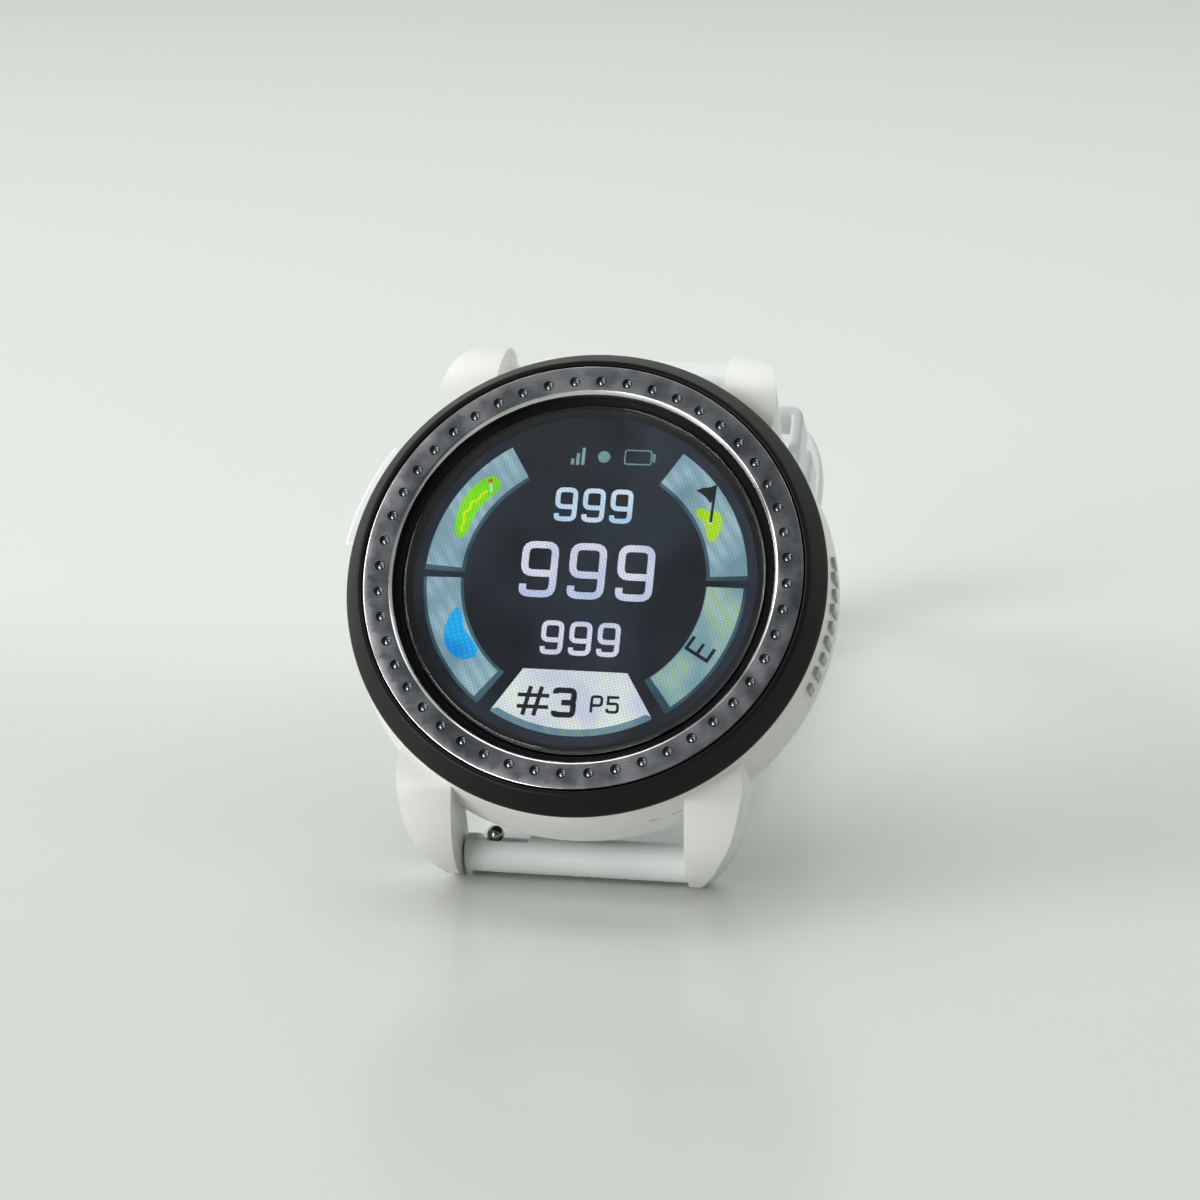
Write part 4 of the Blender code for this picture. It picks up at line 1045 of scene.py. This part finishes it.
def long_half():
    drop = LUG_TIP - STRAP_THICKNESS / 2
    landing = (RAMP, -drop)
    ramp = [(0.0, -0.35), (1.2, -0.5), (2.4, -0.65), (3.7, -0.78), (5.0, -0.9), (6.5, -0.97), landing]
    run = [(point[0], point, 0.0) for point in ramp]
    stretches = [(LONG_FLAT - RAMP, 0, 90), (LONG_LENGTH - LONG_FLAT, LONG_CURVE, 80)]
    for distance, point, heading in walk(landing, 0.0, stretches)[1:]:
        run.append((distance + RAMP, point, heading))
    stations = []
    for distance, point, heading in run:
        half, thick = strap_size(distance, LONG_LENGTH)
        left = LONG_LENGTH - distance
        if left < TIP_LENGTH:
            # The tip is a quarter ellipse on each side, with a flat end of a little under half the width.
            share = min(0.995, 1 - left / TIP_LENGTH)
            half = half * (0.45 + 0.55 * math.sqrt(1 - share ** 2))
        if left < 1.0:
            thick -= 0.35 * (1 - left) ** 2
        stations.append((distance, point, heading, half, thick))
    made = silicone(strap_half(stations, -1), "strap_long", LOWER_BAR)
    shell = barrel(BARREL, STRAP_WIDTH / 2 + BARREL_OVERHANG, LONG_GRAIN)
    join_barrel(made, shell, BAR_BORE, LOWER_BAR)
    combine(made, solid(knob_scoop(1), "notch", LOWER_BAR))
    for index in range(TANG_HOLES):
        distance = FIRST_TANG_HOLE + TANG_HOLE_PITCH * index
        spot = walk(landing, 0.0, [(min(distance, LONG_FLAT) - RAMP, 0, 1)])[-1]
        if distance > LONG_FLAT:
            spot = walk(spot[1], spot[2], [(distance - LONG_FLAT, LONG_CURVE, 20)])[-1]
        place = LOWER_BAR @ Matrix.Translation(Vector((0, *spot[1])) * MM) @ Matrix.Rotation(spot[2], 4, "X")
        cutter = slot_cutter(TANG_HOLE_HALF_LENGTH, TANG_HOLE_HALF_WIDTH, 3.0)
        combine(made, solid(cutter, "tang_hole", place))
    finish_strap(made, "strap_hole_half", "strap_long", "strap_long_half")


def short_line(steps=60):
    stretches = [(SHORT_ARC, -SHORT_CURVE, steps), (SHORT_STRAIGHT, 0, 36)]
    return walk((0.0, 0.0), math.radians(SHORT_START), stretches)


BUCKLE_END = short_line(14)[-1]
BUCKLE = (UPPER_BAR @ Matrix.Translation(Vector((0, *BUCKLE_END[1])) * MM)
          @ Matrix.Rotation(BUCKLE_END[2], 4, "X"))


def short_half():
    run = short_line()
    length = run[-1][0]
    stations = []
    for distance, point, heading in run:
        stations.append((distance, point, heading, *strap_size(distance, length)))
    made = silicone(strap_half(stations, 1), "strap_short", UPPER_BAR)
    shell = barrel(BARREL, STRAP_WIDTH / 2 + BARREL_OVERHANG, SHORT_GRAIN)
    join_barrel(made, shell, BAR_BORE, UPPER_BAR)
    combine(made, solid(knob_scoop(-1), "notch", UPPER_BAR))
    shell = barrel(BUCKLE_BARREL, STRAP_END_WIDTH / 2 + BARREL_OVERHANG)
    join_barrel(made, shell, BUCKLE_BORE, BUCKLE)
    combine(made, solid(block((3.0, 7.0, 6.0), (0, 1.2, 0)), "tang_slot", BUCKLE))
    finish_strap(made, "strap_pin_half", "strap_buckle", "strap_buckle_half")


def keeper(name, body, node, along):
    """A soft rounded loop round the strap."""
    half, low, high, wall, width = 10.7, -1.55, 4.3, 1.3, 5.6
    mid = wall / 2
    x, bottom, top = half + mid, low - mid, high + mid
    radius = 1.0
    path = arc((x - radius, top - radius), radius, 0, 90, 8)
    path += arc((-x + radius, top - radius), radius, 90, 180, 8)
    path += arc((-x + radius, bottom + radius), radius, 180, 270, 8)
    path += arc((x - radius, bottom + radius), radius, 270, 360, 8)
    count = len(path)
    outline = []
    soft = 0.42
    for x_side, y_side, start in ((1, 1, 0), (-1, 1, 90), (-1, -1, 180), (1, -1, 270)):
        centre = (x_side * (mid - soft), y_side * (width / 2 - soft))
        outline += arc(centre, soft, start, start + 90, 4)
    sections = []
    for index, (px, pz) in enumerate(path):
        before, after = Vector(path[index - 1]), Vector(path[(index + 1) % count])
        along_path = (after - before).normalized()
        outward = Vector((along_path.y, -along_path.x))
        sections.append([Vector((px + outward.x * o, along + a, pz + outward.y * o)) for o, a in outline])
    piece(loft(sections, looped=True), name, [SILICONE], body, BUCKLE, [node])


# ---------------------------------------------------------------- metal hardware

def bar_pin(root, end):
    """A pin with a rounded nose, from root out to the lug on one side, +1 or -1."""
    nose = [(0, 12.0), (0.2, 11.98), (0.32, 11.9), (0.36, 11.75)]
    return lathe([(radius, x * end) for radius, x in nose] + [(0.36, root), (0, root)], 24, axis="X")


def spring_bar(prefix, place, strap_body, knob_side):
    profile = [(0.47, -9.6), (0.7, -9.6), (0.75, -9.5), (0.75, 9.7), (0.7, 9.8), (0.47, 9.8)]
    tube = solid(lathe(profile, 32, axis="X"), prefix + "_tube", place)
    low, high = sorted((0.0, 2.0 * knob_side))
    slot = block((1.1 + KNOB_TRAVEL + 0.4, 1.2, high - low), (KNOB_X + KNOB_TRAVEL / 2, 0, (low + high) / 2))
    combine(tube, solid(slot, "slot", place))
    resmooth(tube)
    dress(tube, [STEEL], strap_body, [prefix + "_bar_tube"])
    pin = solid(bar_pin(-1.0, -1), prefix + "_release", place)
    knob = [(0, 0), (0.4, 0), (0.4, 1.1), (0.46, 1.24)] + [
        (KNOB_BALL * math.sin(math.radians(t)), KNOB_MIDDLE - KNOB_BALL * math.cos(math.radians(t)))
        for t in range(40, 180, 10)
    ] + [(0, 2.7)]
    knob = lathe([(r, h * knob_side) for r, h in knob], 40)
    combine(pin, solid(knob, "knob", place @ Matrix.Translation((KNOB_X * MM, 0, 0))), "UNION")
    resmooth(pin, 40)
    dress(pin, [DARK_STEEL], "release_" + prefix, [prefix + "_release_pin"])
    piece(bar_pin(8.2, 1), prefix + "_end_pin", [STEEL], strap_body, place,
          [prefix + "_fixed_pin"])


def buckle():
    half, rail, reach, back_reach, bar = 12.0, 1.6, 11.2, 2.0, 2.0
    outline = [(half, -back_reach)] + arc((half - 3.0, reach - 3.0), 3.0, 0, 90, 12)
    outline += [(-x, y) for x, y in reversed(outline)]
    inner = [(-half + rail, -back_reach)]
    inner += arc((-half + rail + 1.6, reach - bar - 1.6), 1.6, 180, 90, 8)
    outline += inner + [(-x, y) for x, y in reversed(inner)]
    made = solid(prism(outline, -1.0, 1.0), "buckle_u", BUCKLE)
    rounded(made, 0.45, 4, 50.0)
    rest = lathe([(0, -1.25), (1.0, -1.25), (1.0, 1.25), (0, 1.25)], 32, axis="X")
    bmesh.ops.translate(rest, vec=(0, reach - bar / 2, 1.72), verts=rest.verts[:])
    combine(made, solid(rest, "rest", BUCKLE))
    combine(made, solid(cross_hole(PIN + PIN_PLAY, 14.0), "hole", BUCKLE))
    resmooth(made, 35)
    dress(made, [STEEL], "buckle", ["buckle_frame"])
    pin = [(0, -11.7), (0.4, -11.68), (0.58, -11.58), (PIN, -11.4), (PIN, 11.4), (0.58, 11.58),
           (0.4, 11.68), (0, 11.7)]
    piece(lathe(pin, 32, axis="X"), "pin_steel", [STEEL], "strap_buckle", BUCKLE,
          ["buckle_pin"])
    lower = flowing([(0.9, -1.15), (1.8, -0.35), (3.0, 0.6), (5.5, 1.05), (8.5, 1.3), (11.5, 1.3)], 4)
    upper = flowing([(11.95, 1.75), (11.6, 2.25), (8.4, 2.4), (5.5, 2.25), (3.0, 2.0), (1.6, 1.65)], 4)
    profile = arc((0, 0), 1.45, 66, 300, 24) + lower + upper
    tang = solid(prism(profile, -1.0, 1.0, axis="X"), "tang", BUCKLE)
    rounded(tang, 0.25, 3, 50.0)
    combine(tang, solid(cross_hole(PIN + PIN_PLAY, 3.0), "eye", BUCKLE))
    tang.name = "tang_steel"
    resmooth(tang, 35)
    dress(tang, [STEEL], "tang", ["buckle_tang"])


# ---------------------------------------------------------------- nodes that stay

KEPT = {
    "bezel_gasket": RUBBER, "back_gasket": RUBBER, "button_seal": RUBBER, "display_tray": TRAY,
    "tact_switch": TRAY, "display_flex": FLEX, "main_board": BOARD, "contact_board": BOARD,
    "processor_can": CAN, "gps_receiver_can": CAN, "gps_patch_antenna": CERAMIC, "radio_antenna": CERAMIC,
    "battery_foam": FOAM, "battery_cell": POUCH, "button_stem": STEEL, "button_spring": STEEL,
    "button_clip": STEEL, "lower_bar_spring": STEEL, "upper_bar_spring": STEEL,
}


def dress_kept():
    for name, surface in KEPT.items():
        node = frame["nodes"][name]
        node.data.materials.clear()
        node.data.materials.append(surface)


# ---------------------------------------------------------------- studio

def studio():
    floor = bmesh.new()
    size = 2600.0
    base = [(-size, -size, 0), (size, -size, 0), (size, size, 0), (-size, size, 0)]
    floor.faces.new([floor.verts.new(point) for point in base])
    table = solid(floor, "table_top", Matrix.Identity(4))
    surface = Shader("table_gloss", IOR=1.5)
    split = surface.node("SeparateXYZ", Vector=surface.place)
    # Painted light: the table's colour runs from darker in front of the watch to lighter behind it, a painted
    # change of light across the floor, not a real edge.
    depth = surface.node("MapRange", Value=split.outputs["Y"], interpolation_type="SMOOTHSTEP",
                         From_Min=-0.03, From_Max=0.05, To_Min=0.0, To_Max=1.0)
    surface.set("Base Color", surface.ramp(depth.outputs["Result"], (0.0, (0.66, 0.68, 0.645, 1)),
                                           (1.0, (0.76, 0.78, 0.745, 1))))
    surface.set("Roughness", surface.between(depth.outputs["Result"], 0.24, 0.5, 0.0, 1.0))
    surface.bump(surface.noise(0.5, 2.0), 0.001)
    table.data.materials.append(surface.made)

    world = bpy.data.worlds.new("pale_room")
    world.use_nodes = True
    # The room is bright behind and beside the watch, and dim where the photographer stands.
    nodes, links = world.node_tree.nodes, world.node_tree.links
    split = nodes.new("ShaderNodeSeparateXYZ")
    links.new(nodes.new("ShaderNodeTexCoord").outputs["Generated"], split.inputs[0])
    ramp = nodes.new("ShaderNodeValToRGB")
    steps = ramp.color_ramp.elements
    spread = nodes.new("ShaderNodeMapRange")
    spread.inputs["From Min"].default_value, spread.inputs["From Max"].default_value = -0.62, 0.35
    links.new(split.outputs["Y"], spread.inputs["Value"])
    links.new(spread.outputs["Result"], ramp.inputs["Fac"])
    steps[0].color = (0.10, 0.11, 0.12, 1)
    steps[1].color = (0.90, 0.94, 0.90, 1)
    links.new(ramp.outputs["Color"], nodes["Background"].inputs["Color"])
    nodes["Background"].inputs["Strength"].default_value = 0.77
    bpy.context.scene.world = world

    def lamp(name, place, power, width, height, colour):
        light = bpy.data.lights.new(name, "AREA")
        light.shape = "RECTANGLE"
        light.size, light.size_y = width, height
        light.energy = power
        light.color = colour
        made = bpy.data.objects.new(name, light)
        made.location = place
        aim = Vector((0, -0.03, 0.02)) - Vector(place)
        made.rotation_euler = aim.to_track_quat("-Z", "Y").to_euler()
        bpy.context.scene.collection.objects.link(made)

    lamp("window_left", (-0.85, -0.30, 0.50), 4.6, 0.55, 0.5, (1.0, 1.0, 0.985))
    lamp("panel_right", (0.62, -0.12, 0.85), 0.8, 0.35, 0.35, (1.0, 1.0, 1.0))
    lamp("overhead", (-0.15, 0.45, 0.95), 3.6, 0.9, 0.6, (1.0, 1.0, 1.0))
    lamp("front_fill", (-0.62, -0.88, 0.20), 5.6, 0.8, 0.35, (1.0, 1.0, 0.985))

    azimuth, elevation, distance = math.radians(10.195), math.radians(14.666), 0.3721
    aim = Vector((0.00201, -0.050123, 0.027096))
    away = Vector((math.sin(azimuth) * math.cos(elevation), -math.cos(azimuth) * math.cos(elevation),
                   math.sin(elevation)))
    lens = bpy.data.cameras.new("photo_camera")
    lens.angle = math.radians(17.107)
    lens.clip_start = 0.01
    camera = bpy.data.objects.new("photo_camera", lens)
    camera.location = aim + away * distance
    camera.rotation_euler = (-away).to_track_quat("-Z", "Y").to_euler()
    bpy.context.scene.collection.objects.link(camera)
    bpy.context.scene.camera = camera
    bpy.context.scene.view_settings.view_transform = "Standard"


mid_case()
side_marks()
bezel()
dimpled_ring()
glass_and_film()
display()
side_button()
back()
long_half()
short_half()
keeper("keeper_fixed", "strap_buckle", "fixed_keeper", KEEPER_FIXED)
keeper("keeper_free", "keeper", "free_keeper", KEEPER_FREE)
spring_bar("lower", LOWER_BAR, "strap_long", 1)
spring_bar("upper", UPPER_BAR, "strap_buckle", -1)
buckle()
dress_kept()
studio()
